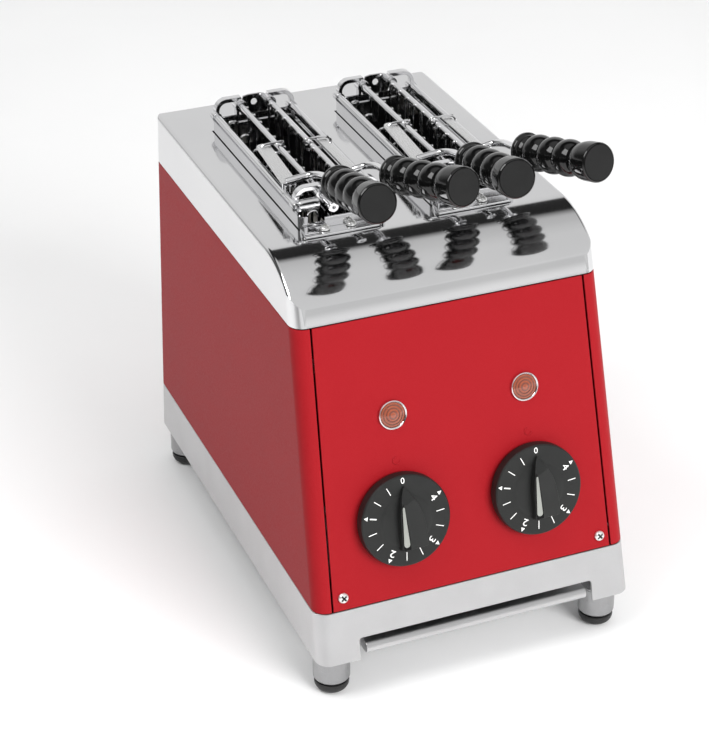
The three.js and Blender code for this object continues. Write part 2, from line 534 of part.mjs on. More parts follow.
const makeTongFrame = (side) => {
  const x = slotX(side);
  const bottom = RIM_HEIGHT + TONG_LIFT_CLEARANCE;
  const ends = [REAR_PLATE, FRONT_PLATE].map((distance) => cut(
    plate(endPlateOutline(bottom), PLATE_THICKNESS, upright(x, -distance + PLATE_THICKNESS / 2, Z_TOP)),
    ...[-1, 1].map((hand) => plate(windowOutline(hand), PLATE_THICKNESS + 2,
      upright(x, -distance + PLATE_THICKNESS / 2 + 1, Z_TOP))),
    hubBore(x, -1, -distance), hubBore(x, 1, -distance)));
  const rails = [-1, 1].map((hand) => {
    const edge = x + hand * (RIM_HALF - 0.2);
    return box(Math.min(edge, edge - hand * RAIL_WIDTH), Math.max(edge, edge - hand * RAIL_WIDTH),
      -FRONT_PLATE - PLATE_THICKNESS / 2, -REAR_PLATE + PLATE_THICKNESS / 2, RAIL_BOTTOM, RAIL_BOTTOM + RAIL_HEIGHT);
  });
  return join(...ends, ...rails);
};

const gridWireY = (i) => -REAR_PLATE - 9 - (i * (FRONT_PLATE - REAR_PLATE - 18)) / (GRID_WIRE_COUNT - 1);
const gridX = (side, hand) => slotX(side) + hand * ROD_OFFSET;

const makeGrid = (side, hand) => {
  const x = gridX(side, hand);
  const spindle = rod([x, -REAR_PLATE + 4, Z_ROD], [x, -ROD_END, Z_ROD], ROD_RADIUS, 8);
  const bars = [GRID_DROP, GRID_DROP * 0.52].map((drop) => rod([x, gridWireY(0) + 4, Z_ROD - drop],
    [x, gridWireY(GRID_WIRE_COUNT - 1) - 4, Z_ROD - drop], 1.4, 5));
  const wires = Array.from({ length: GRID_WIRE_COUNT }, (_, i) => rod([x - hand * 1.2, gridWireY(i), Z_ROD - GRID_DROP],
    [x - hand * 1.2, gridWireY(i), Z_ROD], GRID_WIRE_RADIUS, 5));
  const head = rod([x, -ROD_END, Z_ROD], [x, -ROD_END - ROD_HEAD, Z_ROD], ROD_RADIUS + 1.2, 12);
  return join(spindle, ...bars, ...wires, head);
};

const gripAxis = (side, hand) => {
  const { start, end } = GRIP_ENDS[hand < 0 ? 0 : 1];
  const run = GRIP_LENGTH * Math.cos(GRIP_PITCH * RAD);
  const from = new THREE.Vector3(slotX(side) + start, -GRIP_START.y, Z_TOP + GRIP_START.rise);
  const across = end - start;
  const along = Math.sqrt(run * run - across * across);
  const to = from.clone().add(new THREE.Vector3(across, -along, GRIP_LENGTH * Math.sin(GRIP_PITCH * RAD)));
  return { from, to, direction: to.clone().sub(from).normalize() };
};

// The arm is welded on the rod: a flat strip along it, a cross piece, and a tang into the grip.
const makeArm = (side, hand) => {
  const x = gridX(side, hand);
  const { from, direction } = gripAxis(side, hand);
  const z0 = Z_ROD + ROD_RADIUS + FIT;
  const inner = x + hand;
  const outer = inner + hand * ARM_WIDTH;
  const strip = box(Math.min(inner, outer), Math.max(inner, outer), -ARM_CROSS, -ARM_REAR, z0, z0 + ARM_THICKNESS);
  const half = CROSS_WIDTH / 2;
  const cross = box(Math.min(inner, outer, from.x - half), Math.max(inner, outer, from.x + half), -ARM_CROSS - half,
    -ARM_CROSS + half, z0, z0 + TANG_RADIUS + FIT);
  const tang = rod([from.x, -ARM_CROSS, z0 + TANG_RADIUS], from.clone().addScaledVector(direction, -1).toArray(),
    TANG_RADIUS, 8);
  return join(strip, cross, tang);
};

const makeGrip = (side, hand) => {
  const { from, direction } = gripAxis(side, hand);
  const start = 6;
  const pitch = (GRIP_LENGTH - 22 - start) / GRIP_RIBS;
  const steps = 3;
  const bulges = Array.from({ length: GRIP_RIBS * steps + 1 }, (_, i) => {
    const wave = Math.abs(Math.sin((i / steps) * Math.PI));
    return [GRIP_RADIUS - 3.6 + 2.6 * wave, start + (i / steps) * pitch];
  });
  const end = GRIP_LENGTH;
  const profile = [[0, 0], [GRIP_RADIUS - 1.2, 0], [GRIP_RADIUS - 0.4, 1.5], [GRIP_RADIUS - 1.2, 4], ...bulges,
    [GRIP_RADIUS - 1, end - 12], [GRIP_RADIUS, end - 6], [GRIP_RADIUS, end - 1.5], [GRIP_RADIUS - 1.2, end], [0, end]];
  return turned(profile, 14, from.toArray(), direction.toArray());
};

// ---- assembly -----------------------------------------------------------------------------------------------------
add('base_frame', makeBaseFrame(), ALUMINIUM);
add('base_pan', makeBasePan(), ZINC);
for (const [hand, side] of SIDES) {
  footPlaces(side).forEach((place, i) => {
    const end = i === 0 ? 'rear' : 'front';
    add(`foot_sleeve_${end}_${hand}`, makeSleeve(place), ALUMINIUM);
    add(`foot_pad_${end}_${hand}`, makePad(place), RUBBER);
  });
}
add('body_shell', makeShell(), RED);
add('front_panel', makeFrontPanel(), RED);
add('top_cover', makeCover(), STEEL);
add('chamber', makeChamber(), ZINC);
for (const [bank, x] of HEATER_BANKS) {
  HEATER_LEVELS.forEach((z, level) => add(`heater_${bank}_${level + 1}`, makeHeater(x, z), QUARTZ));
}
add('crumb_tray', makeTray(), STEEL);
add('cable_gland', makeGland(), BAKELITE);
add('terminal_block', makeTerminalBlock(), MICA);
for (const [name, side] of SIDES) {
  add(`slot_frame_${name}`, makeSlotFrame(side), CHROME);
  add(`panel_screw_${name}`, makePanelScrew(side), ZINC);
  for (const [mark, offset] of FLANGE_SCREWS) {
    add(`flange_screw_${name}_${mark}`, makeFlangeScrew(slotX(side) + offset), ZINC);
  }
  add(`timer_${name}`, makeTimer(side), ZINC);
  add(`knob_${name}`, makeKnob(side), DIAL);
  add(`knob_pointer_${name}`, insertPrism(side * KNOB_SPACING / 2, 0), ALUMINIUM);
  add(`lamp_bezel_${name}`, makeBezel(side), CHROME);
  add(`lamp_lens_${name}`, makeLens(side), AMBER);
  add(`tong_frame_${name}`, makeTongFrame(side), CHROME);
  for (const [part, hand] of SIDES) {
    add(`guard_${name}_${part}`, makeGuard(side, hand), CHROME);
    add(`tong_${name}_grid_${part}`, makeGrid(side, hand), CHROME);
    add(`tong_${name}_arm_${part}`, makeArm(side, hand), STEEL);
    add(`tong_${name}_grip_${part}`, makeGrip(side, hand), BAKELITE);
  }
}

// The origin is the middle of the footprint from the front of the base to the end of the cable gland.
group.position.y = (BASE_DEPTH - GLAND_PROTRUSION) / 2;

export default group;
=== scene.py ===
"""Looks of the tong toaster: every visible piece, its finish, the studio and the camera."""

import logging
import math
from contextlib import contextmanager
from dataclasses import dataclass
from enum import Enum
from typing import Callable, Iterator, Sequence

import bmesh
import bpy
from mathutils import Matrix, Vector


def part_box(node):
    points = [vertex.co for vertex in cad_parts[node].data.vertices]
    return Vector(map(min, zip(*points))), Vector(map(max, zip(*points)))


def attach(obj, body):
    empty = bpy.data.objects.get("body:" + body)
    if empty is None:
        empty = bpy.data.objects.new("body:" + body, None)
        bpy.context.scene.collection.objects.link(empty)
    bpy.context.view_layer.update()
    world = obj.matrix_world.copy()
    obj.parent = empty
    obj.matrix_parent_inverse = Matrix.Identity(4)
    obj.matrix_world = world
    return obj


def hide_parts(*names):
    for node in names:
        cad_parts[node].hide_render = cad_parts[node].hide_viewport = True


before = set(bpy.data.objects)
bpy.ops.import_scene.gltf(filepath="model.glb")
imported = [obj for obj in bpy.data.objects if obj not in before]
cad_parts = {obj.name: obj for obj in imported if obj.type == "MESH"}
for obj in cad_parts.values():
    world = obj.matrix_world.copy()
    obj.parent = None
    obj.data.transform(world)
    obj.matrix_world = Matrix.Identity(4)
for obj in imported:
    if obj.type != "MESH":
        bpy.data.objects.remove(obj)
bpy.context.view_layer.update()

LOG = logging.getLogger("toaster")
MM = 0.001
TURN = 2 * math.pi
SLOT_OFFSET = 43.5  # from the middle to each slot, in millimetres
SLOT_FRONT = 207.0  # from the rear face to the front of each slot's collar, in millimetres
SCREW_LEVEL = 0.0415  # level of the panel screws above the base frame's foot, in metres
DIAL_LEVEL = 0.083  # level of the dials above the base frame's foot, in metres
CROSS_TURN = math.radians(38)
Pair = tuple[float, float]
Triple = tuple[float, float, float]


class Hand(Enum):
    """Left or right, seen from the front."""

    LEFT = -1
    RIGHT = 1

    @property
    def word(self) -> str:
        """The side's word in node names."""
        return self.name.lower()


class Kind(Enum):
    """What a selection in edit mode is made of."""

    VERT = "verts"
    EDGE = "edges"
    FACE = "faces"


# ---- where things are ----------------------------------------------------------------------------
@dataclass(frozen=True)
class Layout:
    """Faces, levels and slopes of the body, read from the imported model, in metres."""

    lean: float = math.radians(14.5)
    flare: float = math.radians(1.9)
    rear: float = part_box("body_shell")[1].y
    foot_level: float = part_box("base_frame")[0].z
    shell_level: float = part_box("base_frame")[1].z
    cover_level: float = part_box("top_cover")[0].z
    top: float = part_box("top_cover")[1].z
    foot_half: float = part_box("base_frame")[1].x
    foot_front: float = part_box("base_frame")[0].y

    def half(self, z: float) -> float:
        """Half the body's width at a level."""
        return self.foot_half - math.tan(self.flare) * (z - self.foot_level)

    def front(self, z: float) -> float:
        """The front face's place along Y at a level."""
        return self.foot_front + math.tan(self.lean) * (z - self.foot_level)

    def panel(self, x: float, z: float, out: float = 0.0) -> Matrix:
        """The frame of a spot on the leaning front.

        Args:
            x: place across the front.
            z: level of the spot on the front face.
            out: distance out of the face.

        Returns:
            A matrix whose X runs right, Y up the panel and Z out of it.
        """
        up = Vector((0, math.sin(self.lean), math.cos(self.lean)))
        normal = Vector((0, -math.cos(self.lean), math.sin(self.lean)))
        spot = Vector((x, self.front(z), z)) + normal * out
        turn = Matrix((Vector((1, 0, 0)), up, normal)).transposed()
        return Matrix.Translation(spot) @ turn.to_4x4()

    def at(self, x: float, y: float, rise: float) -> Vector:
        """A point in millimetres: across, from the rear face, above the cover's top."""
        return Vector((x * MM, self.rear + y * MM, self.top + rise * MM))


PLACE = Layout()


def sideways(x: float, y: float, z: float) -> Matrix:
    """A place whose outline lies in Y and Z and whose thickness runs along X."""
    return Matrix(((0, 0, 1, x), (1, 0, 0, y), (0, 1, 0, z), (0, 0, 0, 1)))


def upright(y: float, z: float) -> Matrix:
    """A place whose outline lies in X and Z and whose thickness runs to the front."""
    return Matrix(((1, 0, 0, 0), (0, 0, -1, y), (0, 1, 0, z), (0, 0, 0, 1)))


# ---- bench: the hand tools -----------------------------------------------------------------------
def focus(piece: bpy.types.Object) -> None:
    """Selects one piece alone and makes it active."""
    bpy.ops.object.select_all(action="DESELECT")
    piece.select_set(True)
    bpy.context.view_layer.objects.active = piece


def christen(name: str) -> bpy.types.Object:
    """Names the active object and its mesh, and settles its place into the mesh.

    Args:
        name: for the object and its mesh.

    Returns:
        The piece.
    """
    piece = bpy.context.object
    piece.name = piece.data.name = name
    bpy.ops.object.select_all(action="DESELECT")
    piece.select_set(True)
    bpy.ops.object.transform_apply(location=True, rotation=True, scale=True)
    return piece


@contextmanager
def editing(piece: bpy.types.Object, kind: Kind = Kind.VERT) -> Iterator[None]:
    """Edit mode on one piece, with nothing selected at the start.

    Args:
        piece: the piece to edit.
        kind: what its selections are made of.
    """
    focus(piece)
    bpy.ops.object.mode_set(mode="EDIT")
    bpy.ops.mesh.select_mode(type=kind.name)
    bpy.ops.mesh.select_all(action="DESELECT")
    yield
    bpy.ops.object.mode_set(mode="OBJECT")


def choose(piece: bpy.types.Object, kind: Kind, test: Callable[..., bool]) -> int:
    """Selects, in edit mode, the elements that pass a test.

    Args:
        piece: the piece in edit mode.
        kind: vertices, edges or faces.
        test: true for the elements wanted.

    Returns:
        How many were selected.
    """
    mesh = bmesh.from_edit_mesh(piece.data)
    wanted = [item for item in getattr(mesh, kind.value) if test(item)]
    for item in wanted:
        item.select_set(True)
    mesh.select_flush_mode()
    bmesh.update_edit_mesh(piece.data)
    return len(wanted)


def tidy(piece: bpy.types.Object) -> bpy.types.Object:
    """Merges doubles and turns every face outward.

    Args:
        piece: the piece to clean.

    Returns:
        The same piece.
    """
    with editing(piece):
        bpy.ops.mesh.select_all(action="SELECT")
        bpy.ops.mesh.remove_doubles(threshold=2e-6)
        bpy.ops.mesh.normals_make_consistent(inside=False)
    return piece


def put(piece: bpy.types.Object, place: Matrix) -> bpy.types.Object:
    """Moves a piece by a matrix and settles it into the mesh.

    Args:
        piece: the piece to move.
        place: the matrix that moves it.

    Returns:
        The same piece.
    """
    focus(piece)
    piece.matrix_world = place
    bpy.ops.object.transform_apply(location=True, rotation=True, scale=True)
    return piece


def apply(piece: bpy.types.Object, kind: str, **settings: object) -> bpy.types.Object:
    """Adds a modifier of one kind with its settings, and applies it.

    Args:
        piece: the piece to change.
        kind: the modifier's type.
        **settings: the modifier's properties.

    Returns:
        The same piece.
    """
    focus(piece)
    modifier = piece.modifiers.new(kind.lower(), kind)
    for key, value in settings.items():
        setattr(modifier, key, value)
    bpy.ops.object.modifier_apply(modifier=modifier.name)
    return piece


def soften(piece: bpy.types.Object, width: float, steps: int = 2, angle: float = 35) -> bpy.types.Object:
    """Rounds every edge sharper than an angle in degrees, by a width in millimetres."""
    return apply(piece, "BEVEL", width=width * MM, segments=steps, limit_method="ANGLE",
                 angle_limit=math.radians(angle), use_clamp_overlap=True)


def carve(piece: bpy.types.Object, tool: bpy.types.Object, how: str = "DIFFERENCE") -> bpy.types.Object:
    """Cuts a piece with a tool, joins them or keeps what they share, and removes the tool.

    Args:
        piece: the piece that stays.
        tool: the piece used up.
        how: the boolean's operation.

    Returns:
        The cut piece.
    """
    apply(piece, "BOOLEAN", object=tool, operation=how, solver="EXACT")
    bpy.data.objects.remove(tool, do_unlink=True)
    return piece


def together(name: str, *pieces: bpy.types.Object) -> bpy.types.Object:
    """Joins pieces into one object with a name.

    Args:
        name: the joined piece's name.
        *pieces: what is joined, into the first.

    Returns:
        The joined piece.
    """
    bpy.ops.object.select_all(action="DESELECT")
    for piece in pieces:
        piece.select_set(True)
    bpy.context.view_layer.objects.active = pieces[0]
    if len(pieces) > 1:
        bpy.ops.object.join()
    pieces[0].name = pieces[0].data.name = name
    return pieces[0]


def twin(piece: bpy.types.Object, name: str, place: Matrix) -> bpy.types.Object:
    """Copies a piece with a mesh of its own, and moves the copy by a matrix.

    Args:
        piece: the piece to copy.
        name: the copy's name.
        place: the matrix that moves the copy.

    Returns:
        The copy.
    """
    focus(piece)
    bpy.ops.object.duplicate(linked=False)
    copy = bpy.context.object
    copy.name = copy.data.name = name
    return put(copy, place)


def block(name: str, low: Vector, high: Vector, edge: float = 0.0, steps: int = 2) -> bpy.types.Object:
    """A block between two corners, its edges rounded by a width in millimetres.

    Args:
        name: the piece's name.
        low: the corner with the lowest values, in metres.
        high: the opposite corner.
        edge: rounding of its edges, or 0 for none.
        steps: facets of the rounding.

    Returns:
        The block.
    """
    bpy.ops.object.select_all(action="DESELECT")
    bpy.ops.mesh.primitive_cube_add(size=1, location=(low + high) / 2, scale=high - low)
    piece = christen(name)
    if edge:
        with editing(piece, Kind.EDGE):
            bpy.ops.mesh.select_all(action="SELECT")
            bpy.ops.mesh.bevel(offset=edge * MM, segments=steps, affect="EDGES", clamp_overlap=True)
    return piece


def round_bar(name: str, start: Vector, end: Vector, radius: float, edge: float = 0.3,
              sides: int = 24) -> bpy.types.Object:
    """A straight round bar between two points, radius and end rounding in millimetres.

    Args:
        name: the piece's name.
        start: middle of one end, in metres.
        end: middle of the other.
        radius: of the bar.
        edge: rounding of its ends, or 0 for none.
        sides: facets round it.

    Returns:
        The bar.
    """
    axis = end - start
    bpy.ops.object.select_all(action="DESELECT")
    bpy.ops.mesh.primitive_cylinder_add(vertices=sides, radius=radius * MM, depth=axis.length,
                                        location=(start + end) / 2,
                                        rotation=axis.to_track_quat("Z", "Y").to_euler())
    piece = christen(name)
    if edge:
        with editing(piece, Kind.EDGE):
            choose(piece, Kind.EDGE, lambda e: any(len(f.verts) == sides for f in e.link_faces))
            bpy.ops.mesh.bevel(offset=edge * MM, segments=2, affect="EDGES")
    return piece


def traced(name: str, points: Sequence[Vector], face: bool = False, loop: bool = False) -> bpy.types.Object:
    """A chain of edges through points, extruded one by one from a single vertex.

    Args:
        name: the piece's name.
        points: the points in order, in metres.
        face: fills the outline with a face.
        loop: joins the last point to the first.

    Returns:
        The new piece.
    """
    bpy.ops.object.select_all(action="DESELECT")
    bpy.ops.mesh.primitive_plane_add(size=0.001, location=points[0])
    piece = christen(name)
    with editing(piece):
        bpy.ops.mesh.select_all(action="SELECT")
        bpy.ops.mesh.merge(type="CENTER")
        for here, there in zip(points, points[1:]):
            bpy.ops.mesh.extrude_region_move(TRANSFORM_OT_translate={"value": there - here})
        if loop:
            bpy.ops.mesh.select_all(action="DESELECT")
            last = len(points) - 1
            choose(piece, Kind.VERT, lambda v: v.index in (0, last))
            bpy.ops.mesh.edge_face_add()
        if face:
            bpy.ops.mesh.select_all(action="SELECT")
            bpy.ops.mesh.edge_face_add()
    return piece


def turned(name: str, profile: Sequence[Pair], place: Matrix, steps: int = 48) -> bpy.types.Object:
    """A turned piece.

    Args:
        name: the piece's name.
        profile: radius and height pairs in millimetres, along +Z.
        place: where its Z axis goes.
        steps: faces round it.

    Returns:
        The new piece.
    """
    piece = traced(name, [Vector((radius, 0, height)) * MM for radius, height in profile])
    with editing(piece):
        bpy.ops.mesh.select_all(action="SELECT")
        bpy.ops.mesh.spin(steps=steps, angle=TURN, center=(0, 0, 0), axis=(0, 0, 1))
    return put(tidy(piece), place)


def plate(name: str, outline: Sequence[Pair], thickness: float, place: Matrix, edge: float = 0.0,
          steps: int = 2) -> bpy.types.Object:
    """A flat outline in millimetres given a thickness along +Z, edges rounded, then placed.

    Args:
        name: the piece's name.
        outline: corners in order, in millimetres.
        thickness: along +Z before it is placed.
        place: where it goes.
        edge: rounding of its edges, or 0 for none.
        steps: facets of the rounding.

    Returns:
        The plate.
    """
    piece = traced(name, [Vector((x, y, 0)) * MM for x, y in outline], face=True)
    with editing(piece, Kind.FACE):
        bpy.ops.mesh.select_all(action="SELECT")
        bpy.ops.mesh.extrude_region_move(TRANSFORM_OT_translate={"value": (0, 0, thickness * MM)})
    tidy(piece)
    if edge:
        soften(piece, edge, steps, 50)
    return put(piece, place)


def wire(name: str, points: Sequence[Vector], radius: float, loop: bool = False,
         ring: int = 2) -> bpy.types.Object:
    """A round wire along points in metres, its radius in millimetres.

    Args:
        name: the piece's name.
        points: its middle line.
        radius: of the wire.
        loop: joins its ends.
        ring: fineness of its section.

    Returns:
        The wire.
    """
    piece = traced(name, points, loop=loop)
    focus(piece)
    bpy.ops.object.convert(target="CURVE")
    curve = bpy.context.object
    curve.data.dimensions = "3D"
    curve.data.fill_mode = "FULL"
    curve.data.bevel_depth = radius * MM
    curve.data.bevel_resolution = ring
    curve.data.use_fill_caps = True
    bpy.ops.object.convert(target="MESH")
    return tidy(christen(name))


def bent(points: Sequence[Vector], radius: float, steps: int = 5) -> list[Vector]:
    """Rounds the corners of a path, radius in millimetres.

    Args:
        points: the path's corners, in metres.
        radius: of each bend.
        steps: points along each bend.

    Returns:
        The points of the rounded path.
    """
    path = [points[0]]
    for before, corner, after in zip(points, points[1:], points[2:]):
        into, out = (before - corner), (after - corner)
        reach = min(radius * MM, into.length / 2.01, out.length / 2.01)
        start, end = corner + into.normalized() * reach, corner + out.normalized() * reach
        for i in range(steps + 1):
            t = i / steps
            path.append(start * (1 - t) ** 2 + corner * 2 * t * (1 - t) + end * t ** 2)
    path.append(points[-1])
    return path


def bow(centre: Pair, radius: float, start: float, end: float, steps: int = 8) -> list[Pair]:
    """Points along an arc, angles in degrees."""
    angles = [math.radians(start + (end - start) * i / steps) for i in range(steps + 1)]
    return [(centre[0] + radius * math.cos(a), centre[1] + radius * math.sin(a)) for a in angles]


def lettering(name: str, words: str, size: float, place: Matrix, thickness: float = 0.05) -> bpy.types.Object:
    """A small printed sign as a thin mesh, its size in millimetres, centred on a place.

    Args:
        name: the piece's name.
        words: what it says.
        size: height of the letters.
        place: its middle.
        thickness: half its thickness.

    Returns:
        The sign.
    """
    bpy.ops.object.select_all(action="DESELECT")
    bpy.ops.object.text_add(location=(0, 0, 0))
    sign = bpy.context.object
    sign.data.body = words
    sign.data.size = size * MM
    sign.data.extrude = thickness * MM
    sign.data.align_x, sign.data.align_y = "CENTER", "CENTER"
    bpy.ops.object.convert(target="MESH")
    return put(tidy(christen(name)), place)


# ---- finishes ------------------------------------------------------------------------------------
def tone(red: int, green: int, blue: int) -> Triple:
    """A screen colour, 0 to 255, as linear values."""
    return tuple((c / 255 / 12.92) if c <= 10 else ((c / 255 + 0.055) / 1.055) ** 2.4 for c in (red, green,
                                                                                                blue))


class Recipe:
    """A material under construction: its nodes, its shader and short ways to wire them."""

    def __init__(self, name: str) -> None:
        """Starts a material with a shader and object coordinates.

        Args:
            name: the material's name.
        """
        self.material = bpy.data.materials.new(name)
        self.material.use_nodes = True
        self.nodes = self.material.node_tree.nodes
        self.links = self.material.node_tree.links
        self.shader = self.nodes["Principled BSDF"]
        self.coords = self.nodes.new("ShaderNodeTexCoord").outputs["Object"]

    def mapping(self, stretch: Triple) -> bpy.types.NodeSocket:
        """Object coordinates stretched along each axis.

        Args:
            stretch: scale along X, Y and Z.

        Returns:
            The stretched coordinates.
        """
        node = self.nodes.new("ShaderNodeMapping")
        node.inputs["Scale"].default_value = stretch
        self.links.new(self.coords, node.inputs["Vector"])
        return node.outputs["Vector"]

    def noise(self, scale: float, stretch: Triple = (1, 1, 1), detail: float = 4) -> bpy.types.NodeSocket:
        """Fractal noise on stretched object coordinates.

        Args:
            scale: fineness of the noise.
            stretch: scale along each axis.
            detail: layers of finer noise.

        Returns:
            The noise value.
        """
        node = self.nodes.new("ShaderNodeTexNoise")
        node.inputs["Scale"].default_value = scale
        node.inputs["Detail"].default_value = detail
        self.links.new(self.mapping(stretch), node.inputs["Vector"])
        return node.outputs["Fac"]

    def spread(self, source: bpy.types.NodeSocket, low: float, high: float, start: float = 0.3,
               end: float = 0.7) -> bpy.types.NodeSocket:
        """Maps a value from start..end to low..high.

        Args:
            source: the value to map.
            low: result at the start.
            high: result at the end.
            start: value that gives low.
            end: value that gives high.

        Returns:
            The mapped value.
        """
        node = self.nodes.new("ShaderNodeMapRange")
        for key, value in (("From Min", start), ("From Max", end), ("To Min", low), ("To Max", high)):
            node.inputs[key].default_value = value
        self.links.new(source, node.inputs["Value"])
        return node.outputs["Result"]

    def blend(self, factor: bpy.types.NodeSocket, first: Triple, second: Triple) -> bpy.types.NodeSocket:
        """Mixes two colours by a value.

        Args:
            factor: 0 for the first colour, 1 for the second.
            first: a colour.
            second: a colour.

        Returns:
            The mixed colour.
        """
        node = self.nodes.new("ShaderNodeMix")
        node.data_type = "RGBA"
        node.inputs["A"].default_value = (*first, 1)
        node.inputs["B"].default_value = (*second, 1)
        self.links.new(factor, node.inputs["Factor"])
        return node.outputs["Result"]

    def feed(self, key: str, source: bpy.types.NodeSocket) -> None:
        """Wires a value into the shader."""
        self.links.new(source, self.shader.inputs[key])

    def relief(self, height: bpy.types.NodeSocket, strength: float, depth: float) -> None:
        """Bump from a height, depth in millimetres.

        Args:
            height: the value raised.
            strength: of the bump, 0 to 1.
            depth: of the bump.
        """
        node = self.nodes.new("ShaderNodeBump")
        node.inputs["Strength"].default_value = strength
        node.inputs["Distance"].default_value = depth * MM
        self.links.new(height, node.inputs["Height"])
        earlier = self.shader.inputs["Normal"].links
        if earlier:
            self.links.new(earlier[0].from_socket, node.inputs["Normal"])
        self.links.new(node.outputs["Normal"], self.shader.inputs["Normal"])


@dataclass(frozen=True)
class Finish:
    """A surface finish: two close tones, a range of roughness, a grain and its relief."""

    name: str
    slot: str
    light: Triple
    dark: Triple
    rough: Pair
    metal: float = 0.0
    grain: float = 700
    stretch: Triple = (1, 1, 1)
    bump: float = 0.15
    depth: float = 0.02
    coat: float = 0.0
    coat_rough: float = 0.1
    extra: tuple[tuple[str, float], ...] = ()

    def wet(self, recipe: Recipe) -> None:
        """Sets the sockets that are the same all over the surface.

        Args:
            recipe: the material under construction.
        """
        recipe.shader.inputs["Metallic"].default_value = self.metal
        recipe.shader.inputs["Coat Weight"].default_value = self.coat
        recipe.shader.inputs["Coat Roughness"].default_value = self.coat_rough
        for key, value in self.extra:
            recipe.shader.inputs[key].default_value = value

    def paint(self, recipe: Recipe) -> None:
        """Wires colour, roughness and relief.

        Args:
            recipe: the material under construction.
        """
        grain = recipe.noise(self.grain, self.stretch)
        cloud = recipe.noise(self.grain / 30)
        recipe.feed("Base Color", recipe.blend(recipe.spread(cloud, 0, 1), self.light, self.dark))
        recipe.feed("Roughness", recipe.spread(grain, *self.rough))
        recipe.relief(grain, self.bump, self.depth)

    def material(self) -> bpy.types.Material:
        """The finished material, made once.

        Returns:
            The material of this finish.
        """
        known = bpy.data.materials.get(self.name)
        if known:
            return known
        recipe = Recipe(self.name)
        self.wet(recipe)
        self.paint(recipe)
        return recipe.material


@dataclass(frozen=True)
class FlakePaint(Finish):
    """Metallic paint: fine flakes that glint in a tinted base."""

    flake: Triple = tone(230, 60, 70)

    def paint(self, recipe: Recipe) -> None:
        """Wires flakes over a slightly clouded base, and an orange-peel relief.

        Args:
            recipe: the material under construction.
        """
        cells = recipe.nodes.new("ShaderNodeTexVoronoi")
        cells.inputs["Scale"].default_value = 2600
        recipe.links.new(recipe.mapping((1, 1, 1)), cells.inputs["Vector"])
        glint = recipe.spread(cells.outputs["Distance"], 0.55, 0.0, 0.1, 0.5)
        cloud = recipe.spread(recipe.noise(self.grain / 30), 0, 0.35)
        mixed = recipe.nodes.new("ShaderNodeMix")
        mixed.data_type = "RGBA"
        recipe.links.new(glint, mixed.inputs["Factor"])
        recipe.links.new(recipe.blend(cloud, self.light, self.dark), mixed.inputs["A"])
        mixed.inputs["B"].default_value = (*self.flake, 1)
        recipe.feed("Base Color", mixed.outputs["Result"])
        recipe.feed("Roughness", recipe.spread(recipe.noise(self.grain), *self.rough))
        recipe.relief(recipe.noise(self.grain), self.bump, self.depth)


@dataclass(frozen=True)
class RingedLens(Finish):
    """A coloured lens with moulded rings round its middle."""

    centre: Triple = (0, 0, 0)
    pitch: float = 1.9

    def paint(self, recipe: Recipe) -> None:
        """Wires rings of lighter and darker amber round the lens's own centre: painted light and shade on the
        moulded ridges.

        Args:
            recipe: the material under construction.
        """
        shift = recipe.nodes.new("ShaderNodeMapping")
        shift.vector_type = "TEXTURE"
        shift.inputs["Location"].default_value = self.centre
        recipe.links.new(recipe.coords, shift.inputs["Vector"])
        span = recipe.nodes.new("ShaderNodeVectorMath")
        span.operation = "LENGTH"
        recipe.links.new(shift.outputs["Vector"], span.inputs[0])
        wave = recipe.nodes.new("ShaderNodeMath")
        wave.operation = "SINE"
        stretch = recipe.nodes.new("ShaderNodeMath")
        stretch.operation = "MULTIPLY"
        stretch.inputs[1].default_value = TURN / (self.pitch * MM)
        recipe.links.new(span.outputs["Value"], stretch.inputs[0])
        recipe.links.new(stretch.outputs["Value"], wave.inputs[0])
        # Lighter and darker amber rings: painted light and shade of the moulded ridges.
        rings = recipe.spread(wave.outputs["Value"], 0.15, 0.85, -1, 1)
        recipe.feed("Base Color", recipe.blend(rings, self.light, self.dark))
        recipe.feed("Roughness", recipe.spread(recipe.noise(self.grain), *self.rough))
        recipe.relief(wave.outputs["Value"], self.bump, self.depth)


STEEL = Finish("polished_steel", "steel", (0.80, 0.80, 0.805), (0.74, 0.74, 0.75), (0.05, 0.11), metal=1,
               grain=260, stretch=(8, 0.35, 8), bump=0.05, depth=0.006)
SATIN = Finish("satin_aluminium", "aluminium", (0.60, 0.60, 0.605), (0.57, 0.57, 0.575), (0.36, 0.48),
               metal=1,
               grain=1500, bump=0.12, depth=0.01)
TURNED_METAL = Finish("turned_aluminium", "aluminium", (0.37, 0.37, 0.375), (0.33, 0.33, 0.335), (0.25, 0.42),
                      metal=1,
                      grain=300, stretch=(1, 1, 12), bump=0.2, depth=0.01)
RED = FlakePaint("red_metallic_paint", "red", (0.285, 0.008, 0.012), (0.265, 0.007, 0.011), (0.40, 0.50),
                 metal=0.06,
                 grain=900, bump=0.05, depth=0.01, extra=(("Specular IOR Level", 0.1),),
                 flake=(0.34, 0.02, 0.028))
CHROME = Finish("bright_plate", "chrome", (0.84, 0.84, 0.85), (0.76, 0.76, 0.77), (0.06, 0.13), metal=1,
                grain=500, bump=0.05, depth=0.006)
WORKED = Finish("worked_strip", "steel", (0.84, 0.84, 0.84), (0.80, 0.80, 0.80), (0.24, 0.30), metal=1,
                grain=420, stretch=(6, 0.4, 6), bump=0.04, depth=0.004)
NICKEL = Finish("nickel_screw", "zinc", (0.86, 0.86, 0.85), (0.78, 0.78, 0.77), (0.25, 0.35), metal=0.8,
                grain=600, bump=0.08, depth=0.006)
ZINC = Finish("zinc_plate", "zinc", (0.62, 0.62, 0.63), (0.50, 0.50, 0.52), (0.28, 0.42), metal=1,
              grain=500, bump=0.1, depth=0.01)
# Near-black chamber sheet: painted shade for the dark inside of the slots.
SLOT_SHADE_SHEET = Finish("heat_darkened_sheet", "zinc", (0.05, 0.05, 0.052), (0.02, 0.02, 0.021), (0.45, 0.6),
               metal=0.8,
               grain=150, bump=0.2, depth=0.03)
